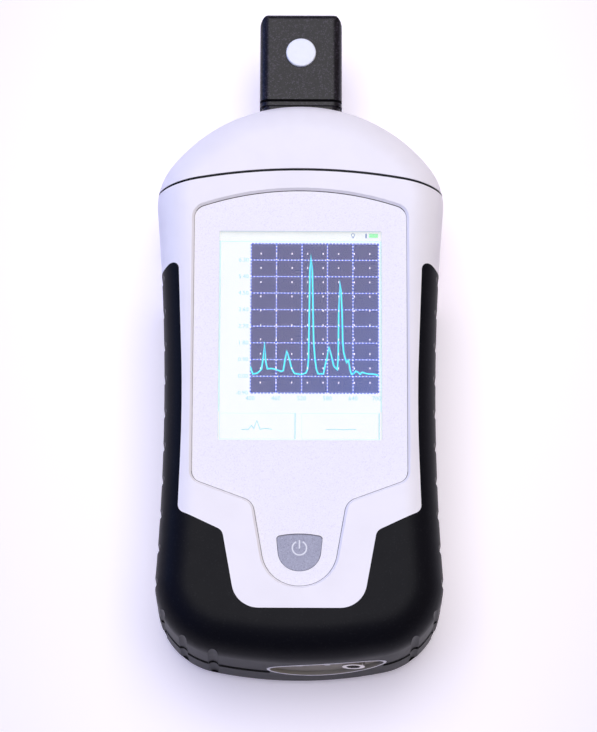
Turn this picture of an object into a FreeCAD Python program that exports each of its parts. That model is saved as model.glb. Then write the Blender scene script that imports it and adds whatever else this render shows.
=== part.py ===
# Handheld spectrometer: a two-shell case with rubber grips, a domed cap and a light-collecting head.
# Millimetres. Lengths along the case (y) are counted from its tail, heights (z) from its flat back,
# and x is the distance from the middle plane. Every piece is written with the origin moved to the
# middle of the whole length, so that +Y points to the head and +Z out of the display.
import FreeCAD, Part
import math
import os

V = FreeCAD.Vector

# Case outline, seen from the front
CASE_LENGTH = 153.0
CASE_THICK = 38.0
WAIST_HALF = 35.95
WAIST_Y = 68.4
FLANK_ARC = 625.0
TAIL_ARC = 112.0
DOME_ARC = 43.5
TAIL_CORNER = 19.0
SHOULDER = 18.0

# Case section
PARTING_Z = 17.0
FRONT_ROUND = 9.5
REAR_ROUND = 5.8
WALL = 3.0
PARTING_GROOVE = 0.35
PARTING_GROOVE_DEPTH = 0.5
GRIP_SKIN = 1.4
POST_BITE = 0.3

# Cap, its seam and spigot
CAP_LENGTH = 20.6
SEAM_ARC = 156.0
SEAM_GAP = 0.7
SEAM_SHADOW = 0.3
SPIGOT_WALL = 1.6
SPIGOT_LENGTH = 5.0
LAND_DROP = 0.9

# Grips: notches and outline on the front
NOTCH_PITCH = 9.17
NOTCH_RADIUS = 1.7
NOTCH_DEPTH = 0.75
NOTCH_TOP_Z = 34.5
NOTCH_LOW_Z = 4.0
NOTCH_COUNT = 13
FIRST_NOTCH_DROP = 49.5
# Outline points: x, y and corner radius, those near the cap with y counted down from the crown
GRIP_TIP = (32.4, 44.4, 1.9)
GRIP_SLOPE_END = (45.0, 53.4, 0.0)
GRIP_WAIST = (30.8, 68.3, 400.0)
GRIP_SHOULDER = (31.8, 38.9, 2.5)
TONGUE_NECK = (20.1, 33.3, 2.5)
TONGUE_FOOT = (16.4, 12.75, 7.0)
REAR_GRIP_BAND = 13.0
REAR_GRIP_DROP = 49.0

# Seal between the shells
SEAL_INSET = 1.9
SEAL_WIDTH = 0.6
SEAL_HEIGHT = 1.2

# Membrane overlay in its pocket
POCKET_DEPTH = 1.2
POCKET_GAP = 0.12
POCKET_BEVEL = 0.6
OVERLAY_THICK = 0.4
# Outline points: x, distance below the seam, the touch panel's end or the key's middle, corner radius
OVERLAY_PEAK = (0.0, 1.6, 80.0)
OVERLAY_SHOULDER = (28.2, 10.95, 3.5)
OVERLAY_HIP = (28.2, 3.4, 3.0)
OVERLAY_NECK = (12.2, 9.4, 4.0)
OVERLAY_FOOT = (8.3, 8.9, 9.6)

# Display stack
WINDOW_WIDTH = 43.2
WINDOW_LENGTH = 57.6
WINDOW_RAISE = 6.5
WINDOW_CORNER = 0.5
TOUCH_SIDE_MARGIN = 3.4
TOUCH_END_MARGIN = 5.8
TOUCH_DROP = 1.3
TOUCH_THICK = 1.2
TOUCH_CORNER = 1.0
LCD_BORDER = 1.2
LCD_THICK = 1.4
BACKLIGHT_THICK = 2.3
TRAY_THICK = 0.5
DISPLAY_GAP = 0.3
TRAY_EAR_OUT = 2.3
TRAY_EAR_SHIFTS = (-22.9, 10.0)
TRAY_EAR_RADIUS = 2.3
FLEX_WIDTH = 20.0
FLEX_THICK = 0.2
FLEX_REACH = 3.3

# Power key and its switch
KEY_Y = 27.6
KEY_HALF_WIDTH = 5.95
KEY_HEAD = 5.2
KEY_CROWN = 1.0
KEY_ARCH = 25.0
KEY_FOOT = 4.9
KEY_CORNER = 0.9
KEY_SIDE_TAPER = 0.9
KEY_FOOT_ROUND = 5.3
KEY_GAP = 0.12
KEY_TRAVEL = 0.35
KEY_LIP = 0.8
KEY_LIP_THICK = 0.7
KEY_NUB_RADIUS = 1.2
KEY_NUB_GAP = 0.05
DOME_RADIUS = 3.0
SNAP_DOME_HEIGHT = 0.5
SNAP_DOME_THICK = 0.08
KEY_BOARD_THICK = 0.8
KEY_BOARD_HALF = 10.4
KEY_BOARD_LENGTH = 15.0
KEY_BOARD_CORNER = 1.0
KEY_POST_X = 8.9
KEY_POST_RADIUS = 1.5

# Main board
BOARD_DEPTH = 8.0
BOARD_THICK = 1.6
BOARD_INSET = 4.5
BOARD_START = 18.0
BOARD_TO_BENCH = 9.0
LOW_BOARD_POST = (27.0, 6.0)
HIGH_BOARD_POST = (29.0, -6.0)
BOARD_POST_RADIUS = 2.5
# Components: middle x, y from a line, width, length, height
CHIPS_BEHIND_DISPLAY = (
    (6.0, 9.7, 12.0, 12.0, 1.0),
    (-12.0, 11.7, 9.0, 11.0, 1.0),
    (14.0, 20.7, 7.0, 5.0, 0.8),
)
CHIPS_NEAR_START = (
    (-16.0, 22.0, 6.0, 5.0, 1.2),
    (17.0, 24.0, 10.0, 6.0, 1.2),
)
PARTS_UNDER_START = (
    (17.0, 8.0, 8.0, 6.0, 1.8),
    (18.0, 18.0, 7.0, 7.0, 2.8),
)
PARTS_UNDER_END = (
    (16.0, -18.0, 16.0, 18.0, 2.4),
    (4.0, -5.0, 6.0, 6.0, 2.6),
)

# Battery: one cylindrical cell in its cradle
CELL_RADIUS = 9.15
CELL_TO_BENCH = 9.0
CELL_X = -13.0
CELL_Z = 14.6
CELL_Y = 19.0
CELL_GAP = 0.2
CRADLE_WALL = 1.25
CRADLE_HEIGHT = 9.0
CRADLE_END_HEIGHT = 16.0
CELL_BUTTON_RADIUS = 3.05
CELL_BUTTON_HEIGHT = 1.2
LEAD_RADIUS = 0.55
LEAD_RISE = 6.4
LEAD_SPREAD = 3.0
LEAD_REACH = 3.0
LEAD_BEND = 1.2

# Port in the tail: frame, plate, jack and two status lenses
PORT_X = 7.25
PORT_Z = 19.5
PORT_HALF_WIDTH = 15.75
PORT_HALF_HEIGHT = 7.4
PORT_LIP = 0.8
PORT_FLANGE = 1.7
PORT_RECESS = 1.0
PORT_FRAME_BACK = 6.2
PLATE_BACK = 4.2
JACK_X = 14.3
JACK_BORE = 1.8
JACK_BORE_LENGTH = 14.0
JACK_BUSH_RADIUS = 3.0
JACK_FACE_Y = 1.0
JACK_END_WALL = 1.0
JACK_NUT_RADIUS = 3.9
JACK_NUT_SLOT = 1.0
JACK_NUT_THICK = 2.0
JACK_BODY_WIDTH = 7.6
JACK_BODY_HEIGHT = 10.0
JACK_BODY_END = 18.0
LENS_RADIUS = 1.05
LENS_X = (0.0, 7.2)
LENS_RISE = 1.2
LENS_BACK = 7.0
LED_SIZE = 1.6
LED_THICK = 1.0
PORT_BOARD_THICK = 1.2
PORT_BOARD_HALF_HEIGHT = 6.0
PORT_BOARD_LEFT = -5.0

# Head and its collar
HEAD_WIDTH = 22.3
HEAD_THICK = 15.0
HEAD_DEPTH = 8.4
HEAD_LENGTH = 24.7
HEAD_ROUND = 2.8
HEAD_PLAN_CORNER = 3.3
HEAD_TOP_ROUND = 1.5
COLLAR_RISE = 1.65
COLLAR_STEP = 0.5
FOOT_GROOVE = 0.65
GROOVE = 0.75
COLLAR_SOCKET = 5.0
FLANGE_DEPTH = 7.4
FLANGE_THICK = 2.0
FLANGE_HALF_WIDTH = 15.5
FLANGE_HALF_HEIGHT = 9.5
COLLAR_GAP = 0.1
SEAT_MARGIN = 1.0
NECK_INSET = 2.0
NECK_ROUND = 1.4
HEAD_SCREW_X = 6.0
COLLAR_SCREW_X = 13.2

# Light path
APERTURE_DROP = 11.4
DIFFUSER_RADIUS = 4.05
DIFFUSER_SEAT = 1.4
DIFFUSER_PROUD = 0.8
DIFFUSER_EDGE = 0.4
WELL_RADIUS = 3.6
MIRROR_SIZE = 5.0
GUIDE_RADIUS = 1.5
GUIDE_GAP = 0.1
FERRULE_RADIUS = 2.6
FERRULE_LENGTH = 8.0

# Optical bench
BENCH_HALF = 25.0
BENCH_LENGTH = 38.0
BENCH_TO_SEAM = 1.4
BENCH_HEIGHT = 16.0
BENCH_WALL = 2.5
BENCH_COVER = 1.6
BENCH_CORNER = 2.5
BENCH_POST_RADIUS = 2.5
BENCH_POST_INSET = (1.55, 4.0)
# Lugs: x, and the distance below the bench's start or end
LOW_LUG = (18.0, 2.0)
HIGH_LUG = (28.0, 12.0)
LUG_RADIUS = 2.6
LUG_THICK = 2.0
SLIT_RADIUS = 3.0
SLIT_THICK = 0.5
SLIT_WIDTH = 0.2
SLIT_HEIGHT = 3.0
OPTIC_HEIGHT = 9.0
MIRROR_WIDTH = 11.0
MIRROR_DEPTH = 4.0
MIRROR_CURVE = 60.0
MIRROR_SAG = 0.25
GRATING_WIDTH = 8.0
GRATING_DEPTH = 3.0
COLLIMATOR_X = -11.0
COLLIMATOR_FROM_START = 8.0
GRATING_X = -14.0
GRATING_FROM_END = 9.0
FOCUS_X = 11.0
FOCUS_FROM_START = 9.5
DETECTOR_X = 16.0
DETECTOR_LENGTH = 14.0
DETECTOR_HEIGHT = 7.0
DETECTOR_THICK = 2.6
GATE_MARGIN = 1.0
DETECTOR_BOARD_MARGIN = 3.0
DETECTOR_BOARD_THICK = 1.2

# Screws: shaft radius, head radius, head height; their reach is how far they bite past the seat
LOW_CASE_SCREW = (22.0, 12.0)
HIGH_CASE_SCREW_X = 30.6
HIGH_CASE_SCREW_DROP = 41.0
CASE_SCREW = (1.25, 2.4, 2.2)
CASE_SCREW_SEAT_Z = 7.0
CASE_SCREW_REACH = 9.0
CASE_BOSS_RADIUS = 3.8
CASE_POST_RADIUS = 2.8
SMALL_SCREW = (0.95, 1.9, 1.3)
TINY_SCREW = (0.75, 1.4, 0.9)
CAP_SCREW_X = 20.0
CAP_SCREW_DROP = 3.7
CAP_BOSS_HEIGHT = 5.0
CAP_BOSS_RADIUS = 2.2
SCREW_GAP = 0.05
HEAD_GAP = 0.35
SCREW_TIP_GAP = 1.0
TRAY_SCREW_REACH = 3.0
KEY_SCREW_REACH = 2.0
BOARD_SCREW_REACH = 5.0
COVER_SCREW_REACH = 5.6
MOUNT_SCREW_REACH = 7.0
COLLAR_SCREW_REACH = 5.0

# Heights that follow from the sizes above
POCKET_Z = CASE_THICK - POCKET_DEPTH
OVERLAY_TOP_Z = POCKET_Z + OVERLAY_THICK
INNER_FRONT_Z = CASE_THICK - WALL
TOUCH_LOW_Z = POCKET_Z - TOUCH_THICK
LCD_LOW_Z = TOUCH_LOW_Z - LCD_THICK
BACKLIGHT_LOW_Z = LCD_LOW_Z - BACKLIGHT_THICK
TRAY_LOW_Z = BACKLIGHT_LOW_Z - TRAY_THICK
KEY_LIP_LOW_Z = INNER_FRONT_Z - KEY_LIP_THICK
SNAP_DOME_TOP_Z = KEY_LIP_LOW_Z - KEY_TRAVEL
KEY_BOARD_TOP_Z = SNAP_DOME_TOP_Z - SNAP_DOME_HEIGHT
LENS_Z = PORT_Z + LENS_RISE
BOARD_TOP_Z = CASE_THICK - BOARD_DEPTH
BOARD_LOW_Z = BOARD_TOP_Z - BOARD_THICK
HEAD_FRONT_Z = CASE_THICK - HEAD_DEPTH
HEAD_Z = HEAD_FRONT_Z - HEAD_THICK / 2
BENCH_LOW_Z = HEAD_Z - BENCH_HEIGHT / 2
BENCH_TOP_Z = HEAD_Z + BENCH_HEIGHT / 2

# Places along the case that follow from the sizes above
SEAM_Y = CASE_LENGTH - CAP_LENGTH
COLLAR_TOP = CASE_LENGTH + COLLAR_RISE
COLLAR_WEB = COLLAR_TOP - COLLAR_SOCKET
FLANGE_SEAT = CASE_LENGTH - FLANGE_DEPTH
FLANGE_LOW = FLANGE_SEAT - FLANGE_THICK
HEAD_LOW = COLLAR_TOP + GROOVE
HEAD_TOP = HEAD_LOW + HEAD_LENGTH
APERTURE_Y = HEAD_TOP - APERTURE_DROP
BENCH_END = SEAM_Y - BENCH_TO_SEAM
BENCH_START = BENCH_END - BENCH_LENGTH
BOARD_END = BENCH_START - BOARD_TO_BENCH
CELL_LENGTH = BENCH_START - CELL_TO_BENCH - CELL_Y
COLLIMATOR_AT = (COLLIMATOR_X, BENCH_START + COLLIMATOR_FROM_START)
GRATING_AT = (GRATING_X, BENCH_END - GRATING_FROM_END)
FOCUS_AT = (FOCUS_X, BENCH_START + FOCUS_FROM_START)
DETECTOR_AT = (DETECTOR_X, BENCH_END)
WINDOW_Y = (KEY_Y + SEAM_Y) / 2 + WINDOW_RAISE
TOUCH_WIDTH = WINDOW_WIDTH + 2 * TOUCH_SIDE_MARGIN
TOUCH_LENGTH = WINDOW_LENGTH + 2 * TOUCH_END_MARGIN
TOUCH_Y = WINDOW_Y - TOUCH_DROP
TOUCH_END_Y = TOUCH_Y - TOUCH_LENGTH / 2
BIG = 400.0


# Plain solids

def box(x0, x1, y0, y1, z0, z1):
    return Part.makeBox(x1 - x0, y1 - y0, z1 - z0, V(x0, y0, z0))


def rod(radius, start, direction, length):
    return Part.makeCylinder(radius, length, V(*start), V(*direction))


def post(radius, x, y, z0, z1):
    return rod(radius, (x, y, z0), (0, 0, 1), z1 - z0)


def fused(shapes):
    whole = shapes[0].multiFuse(shapes[1:])
    return whole.removeSplitter()


def both_sides(points):
    return [(side * x, y) for x, y in points for side in (1, -1)]


# Outlines made of lines and tangent arcs

def arc(centre, radius, start, end):
    def at(angle):
        return V(centre[0] + radius * math.cos(angle), centre[1] + radius * math.sin(angle), 0)
    return Part.Arc(at(start), at((start + end) / 2), at(end)).toShape()


def rounded(corners, grow=0.0):
    """Face with straight sides whose corners (x, y, radius) are rounded, every side moved out by grow."""
    nexts = corners[1:] + corners[:1]
    turn = math.copysign(1, sum(a[0] * b[1] - b[0] * a[1] for a, b in zip(corners, nexts)))
    runs = []
    for before, (x, y, radius), after in zip(corners[-1:] + corners[:-1], corners, nexts):
        here = V(x, y, 0)
        to_last = (V(before[0], before[1], 0) - here).normalize()
        to_next = (V(after[0], after[1], 0) - here).normalize()
        half = to_last.getAngle(to_next) / 2
        inward = (to_last + to_next).normalize()
        outer = math.copysign(1, turn * to_next.cross(to_last).z)
        here = here - inward * (outer * grow / math.sin(half))
        if radius <= 0:
            runs.append((here, None, here))
            continue
        radius += outer * grow
        reach = radius / math.tan(half)
        middle = here + inward * (radius / math.sin(half) - radius)
        runs.append((here + to_last * reach, middle, here + to_next * reach))
    edges = []
    for (_, _, leave), (arrive, middle, away) in zip(runs[-1:] + runs[:-1], runs):
        edges.append(Part.LineSegment(leave, arrive).toShape())
        if middle is not None:
            edges.append(Part.Arc(arrive, middle, away).toShape())
    return Part.Face(Part.Wire(edges))


def below_y(corner, y):
    """The corner whose second number is its distance below y."""
    return (corner[0], y - corner[1], corner[2])


def mirrored(half):
    """Whole outline from the corners of its right half, listed from the top down."""
    left = [(-x, y, radius) for x, y, radius in reversed(half) if x > 0]
    return half + left


def raised(face, z0, z1):
    solid = face.extrude(V(0, 0, z1 - z0))
    solid.translate(V(0, 0, z0))
    return solid


def rounded_box(x0, x1, y0, y1, z0, z1, radius):
    face = rounded([(x0, y0, radius), (x1, y0, radius), (x1, y1, radius), (x0, y1, radius)])
    return raised(face, z0, z1)


def lengthwise_block(half_width, half_height, y0, y1, radius):
    """Block along y with rounded long edges, centred on the head's axis."""
    block = rounded_box(-half_width, half_width, -half_height, half_height, 0, y1 - y0, radius)
    block.rotate(V(0, 0, 0), V(1, 0, 0), -90)
    block.translate(V(0, y0, HEAD_Z))
    return block


# Case form: the outline's arcs share their centres at every inset

def meeting(centre_a, radius_a, centre_b, radius_b, upper):
    dx, dy = centre_b[0] - centre_a[0], centre_b[1] - centre_a[1]
    apart = math.hypot(dx, dy)
    along = (radius_a ** 2 - radius_b ** 2 + apart ** 2) / (2 * apart)
    across = math.sqrt(radius_a ** 2 - along ** 2)
    foot = (centre_a[0] + along * dx / apart, centre_a[1] + along * dy / apart)
    ends = [(foot[0] - s * across * dy / apart, foot[1] + s * across * dx / apart) for s in (1, -1)]
    return max(ends, key=lambda p: p[1]) if upper else min(ends, key=lambda p: p[1])


def bearing(start, end):
    return math.atan2(end[1] - start[1], end[0] - start[0])


TAIL_CENTRE = (0, TAIL_ARC)
DOME_CENTRE = (0, CASE_LENGTH - DOME_ARC)
FLANK_CENTRE = (WAIST_HALF + FLANK_ARC, WAIST_Y)
TAIL_CORNER_CENTRE = meeting(TAIL_CENTRE, TAIL_ARC - TAIL_CORNER,
                             FLANK_CENTRE, FLANK_ARC + TAIL_CORNER, False)
SHOULDER_CENTRE = meeting(DOME_CENTRE, DOME_ARC - SHOULDER,
                          FLANK_CENTRE, FLANK_ARC + SHOULDER, True)


def right_arcs(inset):
    """Arcs of the right half from the tail to the crown: tail, corner, flank, shoulder, dome."""
    tail_turn = bearing(TAIL_CENTRE, TAIL_CORNER_CENTRE)
    low_turn = bearing(TAIL_CORNER_CENTRE, FLANK_CENTRE)
    high_turn = bearing(SHOULDER_CENTRE, FLANK_CENTRE)
    dome_turn = bearing(DOME_CENTRE, SHOULDER_CENTRE)
    return [
        (TAIL_CENTRE, TAIL_ARC - inset, -math.pi / 2, tail_turn),
        (TAIL_CORNER_CENTRE, TAIL_CORNER - inset, tail_turn, low_turn),
        (FLANK_CENTRE, FLANK_ARC + inset, math.pi + low_turn, math.pi + high_turn),
        (SHOULDER_CENTRE, SHOULDER - inset, high_turn, dome_turn),
        (DOME_CENTRE, DOME_ARC - inset, dome_turn, math.pi / 2),
    ]


def case_outline(inset):
    arcs = right_arcs(inset)
    tail, dome = arcs[0], arcs[-1]
    right = [arc(*piece) for piece in arcs[1:-1]]
    left = [arc((-c[0], c[1]), r, math.pi - start, math.pi - end) for c, r, start, end in arcs[1:-1]]
    whole_tail = arc(tail[0], tail[1], -math.pi - tail[3], tail[3])
    whole_dome = arc(dome[0], dome[1], dome[2], math.pi - dome[2])
    edges = Part.__sortEdges__([whole_tail] + right + [whole_dome] + left)
    return Part.Face(Part.Wire(edges))


def edges_at(solid, z):
    return [edge for edge in solid.Edges
            if abs(edge.BoundBox.ZMin - z) < 0.01 and abs(edge.BoundBox.ZMax - z) < 0.01]


def case_form(inset):
    """The case as one closed form, every surface moved inwards by the inset."""
    top = CASE_THICK - inset
    solid = raised(case_outline(inset), inset, top)
    solid = solid.makeFillet(FRONT_ROUND - inset, edges_at(solid, top))
    return solid.makeFillet(REAR_ROUND - inset, edges_at(solid, inset))


def hollow(outer, inner):
    return case_form(outer).cut(case_form(inner))


FRONT_HALF = box(-BIG, BIG, -BIG, BIG, PARTING_Z, BIG)
REAR_HALF = box(-BIG, BIG, -BIG, BIG, -BIG, PARTING_Z)


def beyond_seam(shift):
    """Everything on the head's side of the cap seam."""
    side = SEAM_ARC / 2
    drop = SEAM_ARC - math.sqrt(SEAM_ARC ** 2 - side ** 2)
    crown = SEAM_Y + shift
    left, right = V(-side, crown - drop, 0), V(side, crown - drop, 0)
    curve = Part.Arc(left, V(0, crown, 0), right).toShape()
    roof = Part.makePolygon([right, V(side, BIG, 0), V(-side, BIG, 0), left])
    return raised(Part.Face(Part.Wire([curve] + roof.Edges)), -BIG, BIG)


def body_side(solid):
    return solid.cut(beyond_seam(-SEAM_GAP / 2))


def parting_groove():
    """Ring cut into the outside where the two halves meet."""
    low, high = PARTING_Z - PARTING_GROOVE / 2, PARTING_Z + PARTING_GROOVE / 2
    core = raised(case_outline(PARTING_GROOVE_DEPTH), low, high)
    return raised(case_outline(-WALL), low, high).cut(core)


# Grips

def notch_cutters():
    """Upright rods spaced evenly round the flanks and the tail's corners, clear of the port."""
    arcs = right_arcs(NOTCH_DEPTH - NOTCH_RADIUS)
    tail, corner, flank = arcs[0], arcs[1], arcs[2]
    start = math.pi - math.asin((CASE_LENGTH - FIRST_NOTCH_DROP - WAIST_Y) / flank[1])
    path = [
        arc(flank[0], flank[1], start, flank[2]),
        arc(corner[0], corner[1], corner[3], corner[2]),
        arc(tail[0], tail[1], tail[3], tail[2]),
    ]
    points = Part.Wire(path).discretize(Distance=NOTCH_PITCH)[:NOTCH_COUNT]
    places = [place for place in both_sides([(point.x, point.y) for point in points])
              if abs(place[0] - PORT_X) > PORT_HALF_WIDTH + NOTCH_RADIUS]
    return Part.makeCompound([post(NOTCH_RADIUS, x, y, NOTCH_LOW_Z, NOTCH_TOP_Z) for x, y in places])


def front_grip_zone():
    """The front half outside the white tongue."""
    slope_end, tip = below_y(GRIP_SLOPE_END, CASE_LENGTH), below_y(GRIP_TIP, CASE_LENGTH)
    half = [(slope_end[0], BIG, 0.0), slope_end, tip, GRIP_WAIST, GRIP_SHOULDER, TONGUE_NECK, TONGUE_FOOT]
    white = raised(rounded(mirrored(half)), -BIG, BIG)
    return FRONT_HALF.cut(white)


def rear_grip_zone():
    """A band round the rear half's flanks and tail, up to the grip's top."""
    below = box(-BIG, BIG, -BIG, CASE_LENGTH - REAR_GRIP_DROP, 0, PARTING_Z)
    return below.cut(raised(case_outline(REAR_GRIP_BAND), -BIG, BIG))


def grip(zone):
    return hollow(0, GRIP_SKIN).common(zone)


# Screws and the holes they sit in

def case_screw_places():
    return both_sides([LOW_CASE_SCREW, (HIGH_CASE_SCREW_X, CASE_LENGTH - HIGH_CASE_SCREW_DROP)])


def cap_screw_places():
    return both_sides([(CAP_SCREW_X, SEAM_Y - CAP_SCREW_DROP)])


def screw(size, x, y, seat_z, length):
    """A screw driven in +z: its head lies below the seat."""
    shaft, head, height = size
    return fused([post(shaft, x, y, seat_z, seat_z + length), post(head, x, y, seat_z - height, seat_z)])


def screws(size, places, seat_z, length):
    return Part.makeCompound([screw(size, x, y, seat_z, length) for x, y in places])


def screws_down(size, places, seat_z, length):
    """Screws driven in -z: their heads lie on the seat."""
    shaft, head, height = size
    return Part.makeCompound([fused([post(shaft, x, y, seat_z - length, seat_z),
                                     post(head, x, y, seat_z, seat_z + height)]) for x, y in places])


def pilot_holes(size, places, z0, z1):
    return Part.makeCompound([post(size[0] + SCREW_GAP, x, y, z0, z1) for x, y in places])


def head_recesses(size, places, z0, z1):
    return Part.makeCompound([post(size[1] + HEAD_GAP, x, y, z0, z1) for x, y in places])


# Overlay, window and key outlines

def overlay_face(grow):
    half = [below_y(OVERLAY_PEAK, SEAM_Y), below_y(OVERLAY_SHOULDER, SEAM_Y),
            below_y(OVERLAY_HIP, TOUCH_END_Y), below_y(OVERLAY_NECK, TOUCH_END_Y),
            below_y(OVERLAY_FOOT, KEY_Y)]
    return rounded(mirrored(half), grow)


def window(z0, z1):
    half_x, half_y = WINDOW_WIDTH / 2, WINDOW_LENGTH / 2
    return rounded_box(-half_x, half_x, WINDOW_Y - half_y, WINDOW_Y + half_y, z0, z1, WINDOW_CORNER)


def touch_block(grow, z0, z1):
    half_x, half_y = TOUCH_WIDTH / 2 + grow, TOUCH_LENGTH / 2 + grow
    return rounded_box(-half_x, half_x, TOUCH_Y - half_y, TOUCH_Y + half_y, z0, z1, TOUCH_CORNER)


def key_block(grow, z0, z1):
    """Shield shape: a shallow arch on top, sides that close in to a round foot."""
    top, low = KEY_Y + KEY_HEAD, KEY_Y - KEY_FOOT
    half = [(0, top, KEY_ARCH), (KEY_HALF_WIDTH, top - KEY_CROWN, KEY_CORNER),
            (KEY_HALF_WIDTH - KEY_SIDE_TAPER, low, KEY_FOOT_ROUND)]
    return raised(rounded(mirrored(half), grow), z0, z1)


# Case pieces

def front_posts():
    reach = hollow_core()
    columns = [post(CASE_POST_RADIUS, x, y, PARTING_Z, CASE_THICK) for x, y in case_screw_places()]
    columns += [post(BOARD_POST_RADIUS, x, y, BOARD_TOP_Z, CASE_THICK) for x, y in board_posts()]
    columns += [post(TRAY_EAR_RADIUS, x, y, BACKLIGHT_LOW_Z, CASE_THICK) for x, y in tray_ears()]
    columns += [post(KEY_POST_RADIUS, x, y, KEY_BOARD_TOP_Z, CASE_THICK) for x, y in key_posts()]
    return [column.common(reach) for column in columns]


def hollow_core():
    return case_form(WALL - POST_BITE)


def tray_ears():
    return both_sides([(TOUCH_WIDTH / 2 + TRAY_EAR_OUT, TOUCH_Y + shift) for shift in TRAY_EAR_SHIFTS])


def board_posts():
    low, high = LOW_BOARD_POST, HIGH_BOARD_POST
    return both_sides([(low[0], BOARD_START + low[1]), (high[0], BOARD_END + high[1])])


def key_posts():
    return both_sides([(KEY_POST_X, KEY_Y)])


def seal_ring():
    outer = raised(case_outline(SEAL_INSET), PARTING_Z - SEAL_HEIGHT / 2, PARTING_Z + SEAL_HEIGHT / 2)
    ring = outer.cut(raised(case_outline(SEAL_INSET + SEAL_WIDTH), -BIG, BIG))
    return body_side(ring).cut(port_prism(0, -BIG, BIG))


def front_shell():
    shell = fused([hollow(0, WALL).common(FRONT_HALF)] + front_posts())
    pocket = raised(overlay_face(POCKET_GAP), POCKET_Z, BIG)
    shell = shell.cut(pocket)
    rim = [edge for edge in edges_at(shell, CASE_THICK) if edge.BoundBox.XMax < OVERLAY_HIP[0] + 1
           and edge.BoundBox.XMin > -OVERLAY_HIP[0] - 1 and edge.BoundBox.YMin > TONGUE_FOOT[1]]
    shell = shell.makeChamfer(POCKET_BEVEL, rim)
    cutters = [
        touch_block(DISPLAY_GAP, BACKLIGHT_LOW_Z, BIG),
        key_block(KEY_GAP, -BIG, BIG),
        grip(front_grip_zone()),
        parting_groove(),
        seal_ring(),
        port_prism(0, -BIG, BIG),
        pilot_holes(CASE_SCREW, case_screw_places(), PARTING_Z, PARTING_Z + CASE_SCREW_REACH),
        pilot_holes(SMALL_SCREW, board_posts(), BOARD_TOP_Z, INNER_FRONT_Z),
        pilot_holes(TINY_SCREW, tray_ears(), BACKLIGHT_LOW_Z, INNER_FRONT_Z),
        pilot_holes(TINY_SCREW, key_posts(), KEY_BOARD_TOP_Z, INNER_FRONT_Z),
    ]
    return body_side(shell.cut(cutters))


def rear_shell():
    shell = hollow(0, WALL).common(REAR_HALF)
    reach = hollow_core()
    bosses = [post(CASE_BOSS_RADIUS, x, y, 0, PARTING_Z) for x, y in case_screw_places()]
    bosses += [post(LUG_RADIUS, x, y, 0, BENCH_LOW_Z) for x, y in bench_lugs()]
    shell = fused([shell] + [boss.common(reach) for boss in bosses])
    cap_places = cap_screw_places()
    cutters = [
        grip(rear_grip_zone()),
        parting_groove(),
        seal_ring(),
        port_prism(0, -BIG, BIG),
        pilot_holes(CASE_SCREW, case_screw_places(), 0, PARTING_Z),
        head_recesses(CASE_SCREW, case_screw_places(), -BIG, CASE_SCREW_SEAT_Z),
        pilot_holes(SMALL_SCREW, bench_lugs(), WALL, BENCH_LOW_Z),
        pilot_holes(SMALL_SCREW, cap_places, -BIG, WALL),
        head_recesses(SMALL_SCREW, cap_places, -BIG, SMALL_SCREW[2]),
    ]
    return body_side(shell.cut(cutters))


def front_grip():
    return grip(front_grip_zone()).cut([notch_cutters(), port_prism(0, -BIG, BIG), parting_groove()])


def rear_grip():
    recesses = head_recesses(CASE_SCREW, case_screw_places(), -BIG, CASE_SCREW_SEAT_Z)
    cutters = [notch_cutters(), port_prism(0, -BIG, BIG), parting_groove(), recesses]
    return grip(rear_grip_zone()).cut(cutters)


def head_seat():
    half_x, half_z = FLANGE_HALF_WIDTH + SEAT_MARGIN, FLANGE_HALF_HEIGHT + SEAT_MARGIN
    return box(-half_x, half_x, FLANGE_SEAT, CASE_LENGTH, HEAD_Z - half_z, HEAD_Z + half_z)


def top_cap():
    dome = hollow(0, WALL + SPIGOT_WALL).common(beyond_seam(SEAM_GAP / 2))
    spigot = hollow(WALL + SCREW_GAP, WALL + SPIGOT_WALL).common(beyond_seam(-SPIGOT_LENGTH))
    spigot = spigot.cut(beyond_seam(SEAM_GAP / 2))
    seat = head_seat().common(case_form(WALL / 2))
    places = cap_screw_places()
    bosses = [post(CAP_BOSS_RADIUS, x, y, WALL + SPIGOT_WALL / 2, WALL + CAP_BOSS_HEIGHT) for x, y in places]
    cap = fused([dome, spigot, seat] + bosses)
    flange = lengthwise_block(FLANGE_HALF_WIDTH + COLLAR_GAP, FLANGE_HALF_HEIGHT + COLLAR_GAP,
                              FLANGE_LOW, FLANGE_SEAT, HEAD_ROUND)
    narrowing = COLLAR_STEP - COLLAR_GAP
    throat = lengthwise_block(HEAD_WIDTH / 2 - narrowing, HEAD_THICK / 2 - narrowing,
                              FLANGE_SEAT, HEAD_TOP, HEAD_ROUND)
    land = box(-BIG, BIG, CASE_LENGTH - LAND_DROP, BIG, -BIG, BIG)
    holes = pilot_holes(SMALL_SCREW, places, 0, WALL + CAP_BOSS_HEIGHT)
    fixings = [rod(SMALL_SCREW[0] + SCREW_GAP, (x, FLANGE_SEAT, HEAD_Z), (0, 1, 0), COLLAR_WEB - FLANGE_SEAT)
               for x in (-COLLAR_SCREW_X, COLLAR_SCREW_X)]
    return cap.cut([flange, throat, land, holes] + fixings)


def cap_gasket():
    band = beyond_seam(-SEAM_GAP / 2).cut(beyond_seam(SEAM_GAP / 2))
    return hollow(SEAM_SHADOW, WALL).common(band)


# Display stack

def membrane_overlay():
    sheet = raised(overlay_face(0), POCKET_Z, OVERLAY_TOP_Z)
    return sheet.cut([window(-BIG, BIG), key_block(KEY_GAP, -BIG, BIG)])


def lcd_block(grow, z0, z1):
    half_x, half_y = TOUCH_WIDTH / 2 - LCD_BORDER + grow, TOUCH_LENGTH / 2 - LCD_BORDER + grow
    return box(-half_x, half_x, TOUCH_Y - half_y, TOUCH_Y + half_y, z0, z1)


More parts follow.
